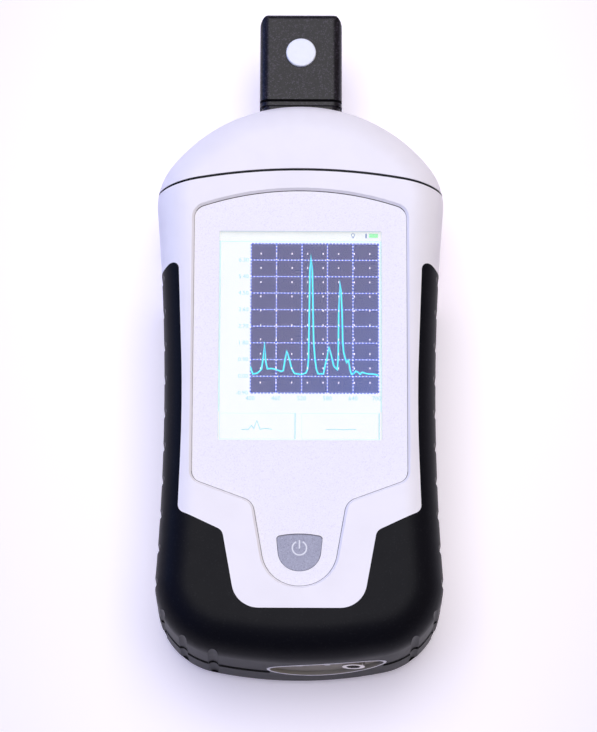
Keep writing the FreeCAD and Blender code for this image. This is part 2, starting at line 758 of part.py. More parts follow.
def backlight_frame():
    return touch_block(0, BACKLIGHT_LOW_Z, TOUCH_LOW_Z).cut(lcd_block(0, LCD_LOW_Z, TOUCH_LOW_Z))


def display_tray():
    plate = touch_block(0, TRAY_LOW_Z, BACKLIGHT_LOW_Z)
    ears = []
    for x, y in tray_ears():
        ears.append(post(TRAY_EAR_RADIUS, x, y, TRAY_LOW_Z, BACKLIGHT_LOW_Z))
        ears.append(box(min(x, 0), max(x, 0), y - TRAY_EAR_RADIUS, y + TRAY_EAR_RADIUS,
                        TRAY_LOW_Z, BACKLIGHT_LOW_Z))
    return fused([plate] + ears).cut(pilot_holes(TINY_SCREW, tray_ears(), -BIG, BIG))


def display_flex():
    """Ribbon that leaves the panel's lower end, turns back and lies on the main board."""
    outer = (BACKLIGHT_LOW_Z + BACKLIGHT_THICK / 2 - BOARD_TOP_Z) / 2
    turn_y, turn_z = TOUCH_END_Y - FLEX_REACH, BOARD_TOP_Z + outer
    half = FLEX_WIDTH / 2
    bend = rod(outer, (-half, turn_y, turn_z), (1, 0, 0), FLEX_WIDTH)
    legs = box(-half, half, turn_y, TOUCH_END_Y, turn_z - outer, turn_z + outer)
    tail = box(-half, half, TOUCH_END_Y - FLEX_THICK, TOUCH_END_Y + FLEX_REACH,
               BOARD_TOP_Z, BOARD_TOP_Z + FLEX_THICK)
    inner = outer - FLEX_THICK
    gap = rod(inner, (-half, turn_y, turn_z), (1, 0, 0), FLEX_WIDTH)
    slot = box(-half, half, turn_y, TOUCH_END_Y, turn_z - inner, turn_z + inner)
    return fused([fused([bend, legs]).cut([gap, slot]), tail])


# Power key

def power_key():
    body = key_block(0, INNER_FRONT_Z, OVERLAY_TOP_Z)
    lip = key_block(KEY_LIP, KEY_LIP_LOW_Z, INNER_FRONT_Z)
    nub = post(KEY_NUB_RADIUS, 0, KEY_Y, SNAP_DOME_TOP_Z + KEY_NUB_GAP, KEY_LIP_LOW_Z)
    return fused([body, lip, nub])


def snap_dome():
    """Thin metal cap of a sphere, its rim on the key board."""
    curve = (DOME_RADIUS ** 2 + SNAP_DOME_HEIGHT ** 2) / (2 * SNAP_DOME_HEIGHT)
    middle = V(0, KEY_Y, SNAP_DOME_TOP_Z - curve)
    ball = Part.makeSphere(curve, middle).cut(Part.makeSphere(curve - SNAP_DOME_THICK, middle))
    return ball.common(post(DOME_RADIUS, 0, KEY_Y, KEY_BOARD_TOP_Z, INNER_FRONT_Z))


def key_board():
    low = KEY_BOARD_TOP_Z - KEY_BOARD_THICK
    plate = rounded_box(-KEY_BOARD_HALF, KEY_BOARD_HALF, KEY_Y - KEY_BOARD_LENGTH / 2,
                        KEY_Y + KEY_BOARD_LENGTH / 2, low, KEY_BOARD_TOP_Z, KEY_BOARD_CORNER)
    return plate.cut(pilot_holes(TINY_SCREW, key_posts(), -BIG, BIG))


# Main board

def main_board():
    plate = raised(case_outline(BOARD_INSET), BOARD_LOW_Z, BOARD_TOP_Z)
    plate = plate.common(box(-BIG, BIG, BOARD_START, BOARD_END, -BIG, BIG))
    return plate.cut(pilot_holes(SMALL_SCREW, board_posts(), -BIG, BIG))


def components(places, line_y, base_z, rise):
    """Blocks on the board, placed from a line across it: rise is 1 on its front and -1 on its back."""
    blocks = []
    for x, shift, width, length, height in places:
        y = line_y + shift
        low, high = sorted((base_z, base_z + rise * height))
        blocks.append(box(x - width / 2, x + width / 2, y - length / 2, y + length / 2, low, high))
    return blocks


def board_components():
    """Chips on the board's front, and a battery socket, coils and a shield on its back."""
    blocks = components(CHIPS_BEHIND_DISPLAY, TOUCH_END_Y, BOARD_TOP_Z, 1)
    blocks += components(CHIPS_NEAR_START, BOARD_START, BOARD_TOP_Z, 1)
    blocks += components(PARTS_UNDER_START, BOARD_START, BOARD_LOW_Z, -1)
    blocks += components(PARTS_UNDER_END, BOARD_END, BOARD_LOW_Z, -1)
    return Part.makeCompound(blocks)


# Battery

def battery_cell():
    can_length = CELL_LENGTH - CELL_BUTTON_HEIGHT
    can = rod(CELL_RADIUS, (CELL_X, CELL_Y, CELL_Z), (0, 1, 0), can_length)
    button = rod(CELL_BUTTON_RADIUS, (CELL_X, CELL_Y + can_length, CELL_Z), (0, 1, 0), CELL_BUTTON_HEIGHT)
    return fused([can, button])


def battery_cradle():
    half = CELL_RADIUS + CRADLE_WALL
    y0, y1 = CELL_Y - CELL_GAP, CELL_Y + CELL_LENGTH + CELL_GAP
    floor = box(CELL_X - half, CELL_X + half, y0, y1, WALL, WALL + CRADLE_HEIGHT)
    floor = floor.cut(rod(CELL_RADIUS, (CELL_X, y0, CELL_Z), (0, 1, 0), y1 - y0))
    ends = [box(CELL_X - half, CELL_X + half, y, y + CRADLE_WALL, WALL, WALL + CRADLE_END_HEIGHT)
            for y in (y0 - CRADLE_WALL, y1)]
    return fused([floor] + ends)


def battery_leads():
    """Two wires from the cell's upper end, over the cradle's end wall, to the main board's edge."""
    start_y = CELL_Y + CELL_LENGTH - CELL_BUTTON_HEIGHT
    turn_y = start_y + CELL_BUTTON_HEIGHT + CRADLE_WALL + LEAD_REACH
    leave_z = CELL_Z + LEAD_RISE
    arrive_z = (BOARD_LOW_Z + BOARD_TOP_Z) / 2
    leads = []
    for x in (CELL_X - LEAD_SPREAD, CELL_X + LEAD_SPREAD):
        route = rounded_route([V(x, start_y, leave_z), V(x, turn_y, leave_z), V(x, turn_y, arrive_z),
                               V(x, BOARD_END, arrive_z)], LEAD_BEND)
        section = Part.Wire(Part.makeCircle(LEAD_RADIUS, V(x, start_y, leave_z), V(0, 1, 0)))
        leads.append(route.makePipeShell([section], True, True))
    return Part.makeCompound(leads)


def rounded_route(points, radius):
    """Straight runs joined by tangent arcs."""
    edges = []
    last = points[0]
    for before, here, after in zip(points, points[1:], points[2:]):
        back, on = (before - here).normalize(), (after - here).normalize()
        half = back.getAngle(on) / 2
        reach = radius / math.tan(half)
        middle = here + (back + on).normalize() * (radius / math.sin(half) - radius)
        edges.append(Part.LineSegment(last, here + back * reach).toShape())
        edges.append(Part.Arc(here + back * reach, middle, here + on * reach).toShape())
        last = here + on * reach
    edges.append(Part.LineSegment(last, points[-1]).toShape())
    return Part.Wire(edges)


# Port

def port_prism(grow, y0, y1):
    """Oval column along y through the tail."""
    long_half, short_half = PORT_HALF_WIDTH + grow, PORT_HALF_HEIGHT + grow
    oval = Part.Ellipse(V(PORT_X + long_half, y0, PORT_Z), V(PORT_X, y0, PORT_Z + short_half),
                        V(PORT_X, y0, PORT_Z))
    y1 = min(y1, PORT_FRAME_BACK + PORT_FLANGE)
    y0 = max(y0, -PORT_FRAME_BACK)
    face = Part.Face(Part.Wire(oval.toShape()))
    face.translate(V(0, y0 - face.CenterOfMass.y, 0))
    return face.extrude(V(0, y1 - y0, 0))


def port_frame():
    nose = port_prism(0, -BIG, PORT_FRAME_BACK).common(case_form(0))
    flange = port_prism(PORT_FLANGE, -BIG, PORT_FRAME_BACK).common(case_form(WALL))
    return fused([nose, flange]).cut(port_prism(-PORT_LIP, -BIG, BIG))


def port_plate():
    plate = port_prism(-PORT_LIP, -BIG, PLATE_BACK).common(case_form(PORT_RECESS))
    holes = [rod(LENS_RADIUS, (x, 0, LENS_Z), (0, 1, 0), BIG) for x in LENS_X]
    return plate.cut(holes + [rod(JACK_BUSH_RADIUS, (JACK_X, 0, PORT_Z), (0, 1, 0), BIG)])


def jack_bush():
    length = JACK_BORE_LENGTH + JACK_END_WALL
    tube = rod(JACK_BUSH_RADIUS, (JACK_X, JACK_FACE_Y, PORT_Z), (0, 1, 0), length)
    return tube.cut(rod(JACK_BORE, (JACK_X, JACK_FACE_Y, PORT_Z), (0, 1, 0), JACK_BORE_LENGTH))


def jack_nut():
    ring = rod(JACK_NUT_RADIUS, (JACK_X, PLATE_BACK, PORT_Z), (0, 1, 0), JACK_NUT_THICK)
    half_slot = JACK_NUT_SLOT / 2
    slot = box(JACK_X - half_slot, JACK_X + half_slot, PLATE_BACK + JACK_NUT_THICK / 2, BIG, -BIG, BIG)
    return ring.cut([rod(JACK_BUSH_RADIUS, (JACK_X, 0, PORT_Z), (0, 1, 0), BIG), slot])


def jack_body():
    half_x, half_z = JACK_BODY_WIDTH / 2, JACK_BODY_HEIGHT / 2
    body = box(JACK_X - half_x, JACK_X + half_x, PLATE_BACK + JACK_NUT_THICK, JACK_BODY_END,
               PORT_Z - half_z, PORT_Z + half_z)
    length = JACK_BORE_LENGTH + JACK_END_WALL
    return body.cut(rod(JACK_BUSH_RADIUS, (JACK_X, JACK_FACE_Y, PORT_Z), (0, 1, 0), length))


def status_lenses():
    lenses = []
    for x in LENS_X:
        face_y = TAIL_ARC - math.sqrt((TAIL_ARC - PORT_RECESS) ** 2 - x ** 2)
        lenses.append(rod(LENS_RADIUS, (x, face_y, LENS_Z), (0, 1, 0), LENS_BACK - face_y))
    return Part.makeCompound(lenses)


def status_leds():
    half = LED_SIZE / 2
    return Part.makeCompound([box(x - half, x + half, LENS_BACK, LENS_BACK + LED_THICK,
                                  LENS_Z - half, LENS_Z + half) for x in LENS_X])


def port_board():
    front = LENS_BACK + LED_THICK
    return box(PORT_BOARD_LEFT, JACK_X - JACK_BODY_WIDTH / 2, front, front + PORT_BOARD_THICK,
               PORT_Z - PORT_BOARD_HALF_HEIGHT, PORT_Z + PORT_BOARD_HALF_HEIGHT)


# Head

def head_block():
    """Block with rounded long edges, plan corners and end, on a neck that plugs into the collar."""
    half_x, half_z = HEAD_WIDTH / 2, HEAD_THICK / 2
    block = lengthwise_block(half_x, half_z, HEAD_LOW, HEAD_TOP, HEAD_ROUND)
    plan = rounded([(-half_x, HEAD_LOW, 0), (half_x, HEAD_LOW, 0), (half_x, HEAD_TOP, HEAD_PLAN_CORNER),
                    (-half_x, HEAD_TOP, HEAD_PLAN_CORNER)])
    side = rounded([(HEAD_LOW, HEAD_Z - half_z, 0), (HEAD_TOP, HEAD_Z - half_z, HEAD_TOP_ROUND),
                    (HEAD_TOP, HEAD_Z + half_z, HEAD_TOP_ROUND), (HEAD_LOW, HEAD_Z + half_z, 0)])
    side.Placement = FreeCAD.Placement(V(0, 0, 0), FreeCAD.Rotation(V(1, 1, 1), 120))
    block = block.common(raised(plan, -BIG, BIG))
    side = side.extrude(V(HEAD_WIDTH, 0, 0))
    side.translate(V(-half_x, 0, 0))
    block = block.common(side)
    neck = lengthwise_block(half_x - NECK_INSET, half_z - NECK_INSET, COLLAR_WEB, HEAD_LOW, NECK_ROUND)
    well_floor = HEAD_Z - MIRROR_SIZE / 2
    cutters = [
        post(WELL_RADIUS, 0, APERTURE_Y, well_floor, BIG),
        post(DIFFUSER_RADIUS, 0, APERTURE_Y, HEAD_FRONT_Z - DIFFUSER_SEAT, BIG),
        rod(GUIDE_RADIUS + GUIDE_GAP, (0, 0, HEAD_Z), (0, 1, 0), APERTURE_Y),
    ]
    cutters += [rod(SMALL_SCREW[0] + SCREW_GAP, (x, COLLAR_WEB, HEAD_Z), (0, 1, 0), HEAD_LOW - COLLAR_WEB)
                for x in (-HEAD_SCREW_X, HEAD_SCREW_X)]
    return fused([block, neck]).cut(cutters)


def head_collar():
    half_x, half_z = HEAD_WIDTH / 2, HEAD_THICK / 2
    flange = lengthwise_block(FLANGE_HALF_WIDTH, FLANGE_HALF_HEIGHT, FLANGE_LOW, FLANGE_SEAT, HEAD_ROUND)
    foot = lengthwise_block(half_x - COLLAR_STEP, half_z - COLLAR_STEP, FLANGE_LOW, COLLAR_TOP, HEAD_ROUND)
    sleeve = lengthwise_block(half_x, half_z, CASE_LENGTH + FOOT_GROOVE, COLLAR_TOP, HEAD_ROUND)
    socket = lengthwise_block(half_x - NECK_INSET, half_z - NECK_INSET, COLLAR_WEB, COLLAR_TOP, NECK_ROUND)
    holes = [rod(SMALL_SCREW[0] + SCREW_GAP, (x, 0, HEAD_Z), (0, 1, 0), BIG)
             for x in (-HEAD_SCREW_X, HEAD_SCREW_X, -COLLAR_SCREW_X, COLLAR_SCREW_X)]
    guide = rod(GUIDE_RADIUS + GUIDE_GAP, (0, 0, HEAD_Z), (0, 1, 0), BIG)
    return fused([flange, foot, sleeve]).cut([socket, guide] + holes)


def lengthwise_screws(places_x, seat_y, length):
    shaft, head, height = SMALL_SCREW
    return Part.makeCompound([
        fused([rod(shaft, (x, seat_y, HEAD_Z), (0, 1, 0), length),
               rod(head, (x, seat_y - height, HEAD_Z), (0, 1, 0), height)]) for x in places_x])


def diffuser():
    """Disc that stands a little proud of the head, with a softened edge."""
    top = HEAD_FRONT_Z + DIFFUSER_PROUD
    disc = post(DIFFUSER_RADIUS, 0, APERTURE_Y, HEAD_FRONT_Z - DIFFUSER_SEAT, top)
    return disc.makeFillet(DIFFUSER_EDGE, edges_at(disc, top))


def fold_mirror():
    """Prism whose slanted face turns the light from the diffuser down the guide."""
    half = MIRROR_SIZE / 2
    near, far = APERTURE_Y - half, APERTURE_Y + half
    low, high = HEAD_Z - half, HEAD_Z + half
    outline = [V(-half, near, low), V(-half, far, high), V(-half, far, low), V(-half, near, low)]
    return Part.Face(Part.makePolygon(outline)).extrude(V(MIRROR_SIZE, 0, 0))


def light_guide():
    start, end = BENCH_END, APERTURE_Y - WELL_RADIUS
    return rod(GUIDE_RADIUS, (0, start, HEAD_Z), (0, 1, 0), end - start)


def guide_ferrule():
    tube = rod(FERRULE_RADIUS, (0, BENCH_END, HEAD_Z), (0, 1, 0), FERRULE_LENGTH)
    return tube.cut(rod(GUIDE_RADIUS, (0, 0, HEAD_Z), (0, 1, 0), BIG))


# Optical bench

def bench_outline(inset, z0, z1):
    half = BENCH_HALF - inset
    return rounded_box(-half, half, BENCH_START + inset, BENCH_END - inset, z0, z1, BENCH_CORNER)


def bench_lugs():
    return both_sides([(LOW_LUG[0], BENCH_START - LOW_LUG[1]), (HIGH_LUG[0], BENCH_END - HIGH_LUG[1])])


def bench_corners():
    inset_x, inset_y = BENCH_POST_INSET
    return both_sides([(BENCH_HALF - inset_x, y) for y in (BENCH_START + inset_y, BENCH_END - inset_y)])


def lug_bridge(x, y):
    """Strip as wide as a lug, from its middle straight into the nearest wall."""
    low, high = BENCH_LOW_Z, BENCH_LOW_Z + LUG_THICK
    if y < BENCH_START:
        return box(x - LUG_RADIUS, x + LUG_RADIUS, y, BENCH_START + BENCH_WALL, low, high)
    wall_x = math.copysign(BENCH_HALF - BENCH_WALL, x)
    return box(min(x, wall_x), max(x, wall_x), y - LUG_RADIUS, y + LUG_RADIUS, low, high)


def bench_body():
    top = BENCH_TOP_Z - BENCH_COVER
    tub = bench_outline(0, BENCH_LOW_Z, top).cut(bench_outline(BENCH_WALL, BENCH_LOW_Z + BENCH_WALL, top))
    lugs = []
    for x, y in bench_lugs():
        lugs.append(post(LUG_RADIUS, x, y, BENCH_LOW_Z, BENCH_LOW_Z + LUG_THICK))
        lugs.append(lug_bridge(x, y))
    posts = [post(BENCH_POST_RADIUS, x, y, BENCH_LOW_Z, top).common(bench_outline(0, BENCH_LOW_Z, top))
             for x, y in bench_corners()]
    wall_y = BENCH_END - BENCH_WALL
    cutters = [
        rod(GUIDE_RADIUS, (0, wall_y, HEAD_Z), (0, 1, 0), BENCH_WALL),
        detector_block(-GATE_MARGIN, wall_y, BENCH_END),
        pilot_holes(SMALL_SCREW, bench_lugs(), -BIG, BIG),
        pilot_holes(TINY_SCREW, bench_corners(), BENCH_LOW_Z + BENCH_WALL, top),
    ]
    return fused([tub] + lugs + posts).cut(cutters)


def bench_cover():
    plate = bench_outline(0, BENCH_TOP_Z - BENCH_COVER, BENCH_TOP_Z)
    return plate.cut(pilot_holes(TINY_SCREW, bench_corners(), -BIG, BIG))


def slit_plate():
    back = BENCH_END - BENCH_WALL
    disc = rod(SLIT_RADIUS, (0, back - SLIT_THICK, HEAD_Z), (0, 1, 0), SLIT_THICK)
    half_x, half_z = SLIT_WIDTH / 2, SLIT_HEIGHT / 2
    return disc.cut(box(-half_x, half_x, 0, BIG, HEAD_Z - half_z, HEAD_Z + half_z))


def halfway(at, towards_a, towards_b):
    """Bearing of the normal that reflects one point's light to the other."""
    a = V(towards_a[0] - at[0], towards_a[1] - at[1], 0).normalize()
    b = V(towards_b[0] - at[0], towards_b[1] - at[1], 0).normalize()
    return math.degrees(math.atan2((a + b).y, (a + b).x))


def optic(at, bearing_deg, width, depth, curve):
    """Block on the bench's floor with its front face at a point, hollowed if it has a curve."""
    floor = BENCH_LOW_Z + BENCH_WALL
    block = box(-depth, 0, -width / 2, width / 2, floor, floor + OPTIC_HEIGHT)
    if curve:
        block = block.cut(post(curve, curve - MIRROR_SAG, 0, -BIG, BIG))
    block.rotate(V(0, 0, 0), V(0, 0, 1), bearing_deg)
    block.translate(V(at[0], at[1], 0))
    return block


def slit_point():
    return (0, BENCH_END - BENCH_WALL)


def collimating_mirror():
    facing = halfway(COLLIMATOR_AT, slit_point(), GRATING_AT)
    return optic(COLLIMATOR_AT, facing, MIRROR_WIDTH, MIRROR_DEPTH, MIRROR_CURVE)


def grating():
    facing = halfway(GRATING_AT, COLLIMATOR_AT, FOCUS_AT)
    return optic(GRATING_AT, facing, GRATING_WIDTH, GRATING_DEPTH, None)


def focusing_mirror():
    facing = halfway(FOCUS_AT, GRATING_AT, DETECTOR_AT)
    return optic(FOCUS_AT, facing, MIRROR_WIDTH, MIRROR_DEPTH, MIRROR_CURVE)


def detector_block(margin, y0, y1):
    x, half_x, half_z = DETECTOR_X, DETECTOR_LENGTH / 2 + margin, DETECTOR_HEIGHT / 2 + margin
    return box(x - half_x, x + half_x, y0, y1, HEAD_Z - half_z, HEAD_Z + half_z)


def detector_array():
    return detector_block(0, BENCH_END, BENCH_END + DETECTOR_THICK)


def detector_board():
    front = BENCH_END + DETECTOR_THICK
    return detector_block(DETECTOR_BOARD_MARGIN, front, front + DETECTOR_BOARD_THICK)


# All pieces by name

def case_screws():
    length = PARTING_Z + CASE_SCREW_REACH - SCREW_TIP_GAP - CASE_SCREW_SEAT_Z
    return screws(CASE_SCREW, case_screw_places(), CASE_SCREW_SEAT_Z, length)


def cap_screws():
    seat_z = SMALL_SCREW[2]
    length = WALL + CAP_BOSS_HEIGHT - SCREW_TIP_GAP - seat_z
    return screws(SMALL_SCREW, cap_screw_places(), seat_z, length)


def key_board_screws():
    return screws(TINY_SCREW, key_posts(), KEY_BOARD_TOP_Z - KEY_BOARD_THICK, KEY_SCREW_REACH)


def head_screws():
    return lengthwise_screws((-HEAD_SCREW_X, HEAD_SCREW_X), FLANGE_LOW, COLLAR_TOP - FLANGE_LOW)


def collar_screws():
    return lengthwise_screws((-COLLAR_SCREW_X, COLLAR_SCREW_X), FLANGE_LOW, COLLAR_SCREW_REACH)


def pieces():
    yield "front_shell", front_shell()
    yield "rear_shell", rear_shell()
    yield "front_grip", front_grip()
    yield "rear_grip", rear_grip()
    yield "top_cap", top_cap()
    yield "cap_gasket", cap_gasket()
    yield "case_seal", seal_ring()
    yield "case_screws", case_screws()
    yield "cap_screws", cap_screws()
    yield "membrane_overlay", membrane_overlay()
    yield "touch_panel", touch_block(0, TOUCH_LOW_Z, POCKET_Z)
    yield "lcd_panel", lcd_block(0, LCD_LOW_Z, TOUCH_LOW_Z)
    yield "backlight_frame", backlight_frame()
    yield "display_tray", display_tray()
    yield "tray_screws", screws(TINY_SCREW, tray_ears(), TRAY_LOW_Z, TRAY_SCREW_REACH)
    yield "display_flex", display_flex()
    yield "power_key", power_key()
    yield "snap_dome", snap_dome()
    yield "key_board", key_board()
    yield "key_board_screws", key_board_screws()
    yield "main_board", main_board()
    yield "board_components", board_components()
    yield "board_screws", screws(SMALL_SCREW, board_posts(), BOARD_LOW_Z, BOARD_SCREW_REACH)
    yield "battery_cell", battery_cell()
    yield "battery_cradle", battery_cradle()
    yield "battery_leads", battery_leads()
    yield "port_frame", port_frame()
    yield "port_plate", port_plate()
    yield "jack_bush", jack_bush()
    yield "jack_nut", jack_nut()
    yield "jack_body", jack_body()
    yield "status_lenses", status_lenses()
    yield "status_leds", status_leds()
    yield "port_board", port_board()
    yield "head_block", head_block()
    yield "head_collar", head_collar()
    yield "head_screws", head_screws()
    yield "collar_screws", collar_screws()
    yield "diffuser", diffuser()
    yield "fold_mirror", fold_mirror()
    yield "light_guide", light_guide()
    yield "guide_ferrule", guide_ferrule()
    yield "bench_body", bench_body()
    yield "bench_cover", bench_cover()
    yield "bench_cover_screws", screws_down(TINY_SCREW, bench_corners(), BENCH_TOP_Z, COVER_SCREW_REACH)
    yield "bench_mount_screws", screws_down(SMALL_SCREW, bench_lugs(), BENCH_LOW_Z + LUG_THICK,
                                            MOUNT_SCREW_REACH)
    yield "slit_plate", slit_plate()
    yield "collimating_mirror", collimating_mirror()
    yield "grating", grating()
    yield "focusing_mirror", focusing_mirror()
    yield "detector_array", detector_array()
    yield "detector_board", detector_board()


os.makedirs("parts", exist_ok=True)
for name, shape in pieces():
    placed = shape.copy()
    placed.translate(V(0, -HEAD_TOP / 2, 0))
    placed.exportStep(f"parts/{name}.step")
    print(f"{name}: {len(placed.Solids)} solid(s), {placed.Volume / 1000:.2f} cm3, valid {placed.isValid()}")
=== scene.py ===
import math

import bpy
from mathutils import Matrix, Vector


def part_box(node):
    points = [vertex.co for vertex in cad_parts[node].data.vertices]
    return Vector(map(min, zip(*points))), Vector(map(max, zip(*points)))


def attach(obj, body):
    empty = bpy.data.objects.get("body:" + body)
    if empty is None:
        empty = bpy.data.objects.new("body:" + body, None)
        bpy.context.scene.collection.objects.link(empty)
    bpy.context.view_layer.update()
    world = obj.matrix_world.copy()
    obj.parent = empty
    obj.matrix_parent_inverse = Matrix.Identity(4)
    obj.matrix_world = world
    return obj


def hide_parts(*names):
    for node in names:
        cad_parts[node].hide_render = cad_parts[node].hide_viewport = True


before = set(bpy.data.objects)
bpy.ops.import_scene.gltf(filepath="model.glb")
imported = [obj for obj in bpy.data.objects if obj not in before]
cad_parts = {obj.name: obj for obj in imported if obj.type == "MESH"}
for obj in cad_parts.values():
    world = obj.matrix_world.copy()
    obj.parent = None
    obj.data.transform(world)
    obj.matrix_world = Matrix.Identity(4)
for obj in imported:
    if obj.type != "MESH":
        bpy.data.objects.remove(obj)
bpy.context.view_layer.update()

# Lengths are in millimetres, or in metres where they have this factor
MM = 0.001

# Camera, with the photograph's place and field of view
PICTURE_HEIGHT = 732
FOCAL_PIXELS = 3705
VIEW_TILT = math.radians(16.0)
VIEW_ROLL = math.radians(0.2)
VIEW_DISTANCE = 975 * MM
VIEW_TARGET = Vector((-0.4, -12.35, 38.0)) * MM
SENSOR = 36.0
CLIP_START = 50 * MM

# Colours, linear
FLOOR_COLOUR = (0.925, 0.885, 0.94)
FLOOR_GLOW = (0.95, 0.88, 1.0)
SHELL_WHITE = (0.855, 0.82, 0.875)
OVERLAY_WHITE = (0.86, 0.83, 0.88)
RUBBER_BLACK = (0.0035, 0.0035, 0.006)

# Share of its glow that a lit field also has as plain colour
LIT_BODY = 0.25

# Floor, with a glow that fades outwards between two shares of its reach
FLOOR_HALF = 3000 * MM
GLOW_NEAR, GLOW_FAR = 0.28, 0.035
GLOW_REACH_X, GLOW_REACH_Y = 75 * MM, 130 * MM
GLOW_FADE_START, GLOW_FADE_END = 0.7, 1.6

# Studio: brightness from the horizon up, tint from left to right, brightness from the tail to the head
STUDIO_STRENGTH = 0.6
STUDIO_HEIGHT = ((0.0, 0.28), (0.12, 0.4), (0.35, 0.8), (0.75, 0.84), (0.95, 1.2))
STUDIO_SIDE = ((0.0, (0.55, 0.8, 2.2)), (0.5, (0.85, 0.85, 0.95)), (1.0, (0.95, 0.8, 0.7)))
STUDIO_DEPTH = ((0.0, 0.35), (0.5, 0.9), (1.0, 0.7))

# Display picture, in millimetres from the middle of the lit area
LIT_HALF_X, LIT_HALF_Y = 21.6, 28.8
SCREEN_RAISE = 1.0
LAYER_STEP = 0.004
MENU_EDGE = 26.6
MENU_LINE = 0.24
SIDE_LINE_PLACES = (-21.3, 21.4)
SIDE_LINE = 0.4
SIDE_LINE_FOOT = -20.4

# Plot with its dotted grid
PLOT_LEFT, PLOT_RIGHT = -13.1, 20.75
PLOT_LOW, PLOT_TOP = -15.3, 26.0
COLUMN_COUNT = 5
ROW_COUNT = 9
COLUMN_STEP = (PLOT_RIGHT - PLOT_LEFT) / COLUMN_COUNT
ROW_STEP = (PLOT_TOP - PLOT_LOW) / ROW_COUNT
GRID_LINE = 0.32
DOT_PITCH = 0.9
DOT_SIZE = 0.28

# Numbers along the foot of the plot and values up its left side
FIRST_NUMBER, NUMBER_STEP = 400, 60
NUMBER_HEIGHT = 1.15
NUMBER_DROP = 1.46
LAST_NUMBER_INSET = 1.4
LOWEST_VALUE, VALUE_STEP = -0.9, 0.9
VALUE_HEIGHT = 1.1
VALUE_GAP = 0.58

# Height of a figure as a share of its font's size, and how finely its curves are cut up
FIGURE_SHARE = 0.7
FIGURE_STEPS = 2

# Small marks spread over the plot
SPACER_COUNT_X, SPACER_COUNT_Y = 8, 10
SPACER_PITCH_X, SPACER_PITCH_Y = 4.13, 3.96
SPACER_LEFT, SPACER_TOP = -10.45, 23.2
SPACER_WIDTH, SPACER_HEIGHT = 0.24, 0.50

# Least cosine of half a corner's turn that a line's mitre follows
MITRE_LIMIT = 0.45

# Curve, as numbers of the foot with their values
CURVE_WIDTH = 0.42
CURVE = (
    (400.5, 0.50), (403, 0.30), (406, 0.12), (416, 0.16), (426, 0.37), (430, 1.0), (433, 1.84),
    (436, 0.76), (440, 0.40), (449, 0.42), (460, 0.37), (472, 0.26), (477, 0.31), (481, 0.89),
    (485, 1.35), (490, 1.02), (497, 0.40), (503, 0.16), (520, 0.10), (530, 0.19), (534, 0.40),
    (536, 0.96), (537, 2.6), (538.8, 5.8), (541, 6.56), (544.5, 5.7), (547, 2.6), (548, 1.8),
    (551, 0.96), (554.5, 0.37), (558.5, 0.14), (571, 0.14), (575, 0.63), (579, 0.96), (583.7, 1.58),
    (589, 1.15), (595, 0.57), (603, 0.37), (605.3, 0.96), (606.5, 3.4), (609, 5.17), (612, 4.6),
    (614.5, 3.4), (616, 1.9), (618, 1.32), (621.6, 1.0), (625.3, 0.75), (629.5, 0.88), (633, 0.37),
    (636.6, 0.12), (641.4, 0.16), (646.5, 0.29), (652, 0.23), (656.4, 0.12), (662, 0.24),
    (667.7, 0.18), (677, 0.14), (687, 0.14), (695, 0.10), (699.5, 0.05),
)

# Two buttons below the plot, each with a small curve on it
BUTTON_LOW, BUTTON_TOP = -27.89, -20.73
BUTTON_SIDES = ((-21.2, -1.14), (0.44, 20.95))
BUTTON_LINE = 0.14
BUTTON_SHADE = 0.24
BUTTON_CURVE_WIDTH = 0.2
PEAK_CURVE_X = -11.3
PEAK_CURVE = (
    (-4.0, -0.9), (-2.2, -0.9), (-1.4, 0.2), (-0.8, -0.7), (0.0, 1.5), (0.9, -0.9), (2.2, -0.6), (4.0, -0.9),
)
FLAT_CURVE_X = 10.8
FLAT_CURVE = ((-4.0, -0.9), (-1.5, -0.8), (0.5, -0.95), (2.5, -0.8), (4.0, -0.9))

# Menu signs: a bar, a full cell and a pin
BAR_SIGN = (17.3, 17.65, 27.6, 28.85)
CELL_SIGN = (18.27, 20.66, 27.71, 28.83)
PIN_X, PIN_Y = 14.0, 28.4
PIN_RADIUS = 0.45
PIN_LINE = 0.14
PIN_FOOT = 27.6
PIN_FOOT_WIDTH = 0.3
PIN_STEPS = 12

# Touch plate and the wall of the window round it
GLASS_GAP = 0.05 * MM
WINDOW_RAISE = 0.3
RIM_FOOT_INSET, RIM_TOP_INSET = 0.06, 0.02

# Painted shade in the gap round the overlay's edge
EDGE_INSET = 0.05 * MM
EDGE_FOOT = 0.004 * MM
EDGE_REACH = 0.115 * MM
EDGE_RISE = 0.2 * MM

# Power symbol, in millimetres
SIGN_RAISE = 1.1775
SIGN_LIFT = 0.012
SIGN_LINE = 0.38
RING_RADIUS = 1.85
RING_GAP = math.radians(27)
RING_STEPS = 40
BAR_FOOT, BAR_TOP = -0.15, 2.15

# Black strip of painted shade over the parting line
SHADE_STRIP_HEIGHT = 2.2 * MM
SHADE_STRIP_PROUD = 0.08 * MM
GROOVE_HEIGHT = 0.35 * MM

# Faces of a node: how far a wall may lean, how far it turns to the head, and how near to an edge it ends
WALL_TILT = 0.2
HEADWARD = 0.5
AT_EDGE = 0.02 * MM

# Corners of a square, going round
SQUARE = ((-1, -1), (1, -1), (1, 1), (-1, 1))

# Places of the factor, the two colours and the result in a mix of colours
MIX_FACTOR, MIX_FIRST, MIX_SECOND, MIX_RESULT = 0, 6, 7, 2


# Nodes of materials

def fill(tree, node, inputs):
    """Links or sets a node's inputs, each by its name or number."""
    for key, value in inputs.items():
        if isinstance(value, bpy.types.NodeSocket):
            tree.links.new(value, node.inputs[key])
        else:
            node.inputs[key].default_value = value
    return node


def add_node(tree, kind, inputs):
    return fill(tree, tree.nodes.new(kind), inputs)


def reckon(tree, kind, operation, *values):
    """A node that works something out from sockets and constants."""
    node = tree.nodes.new(kind)
    node.operation = operation
    return fill(tree, node, dict(enumerate(values)))


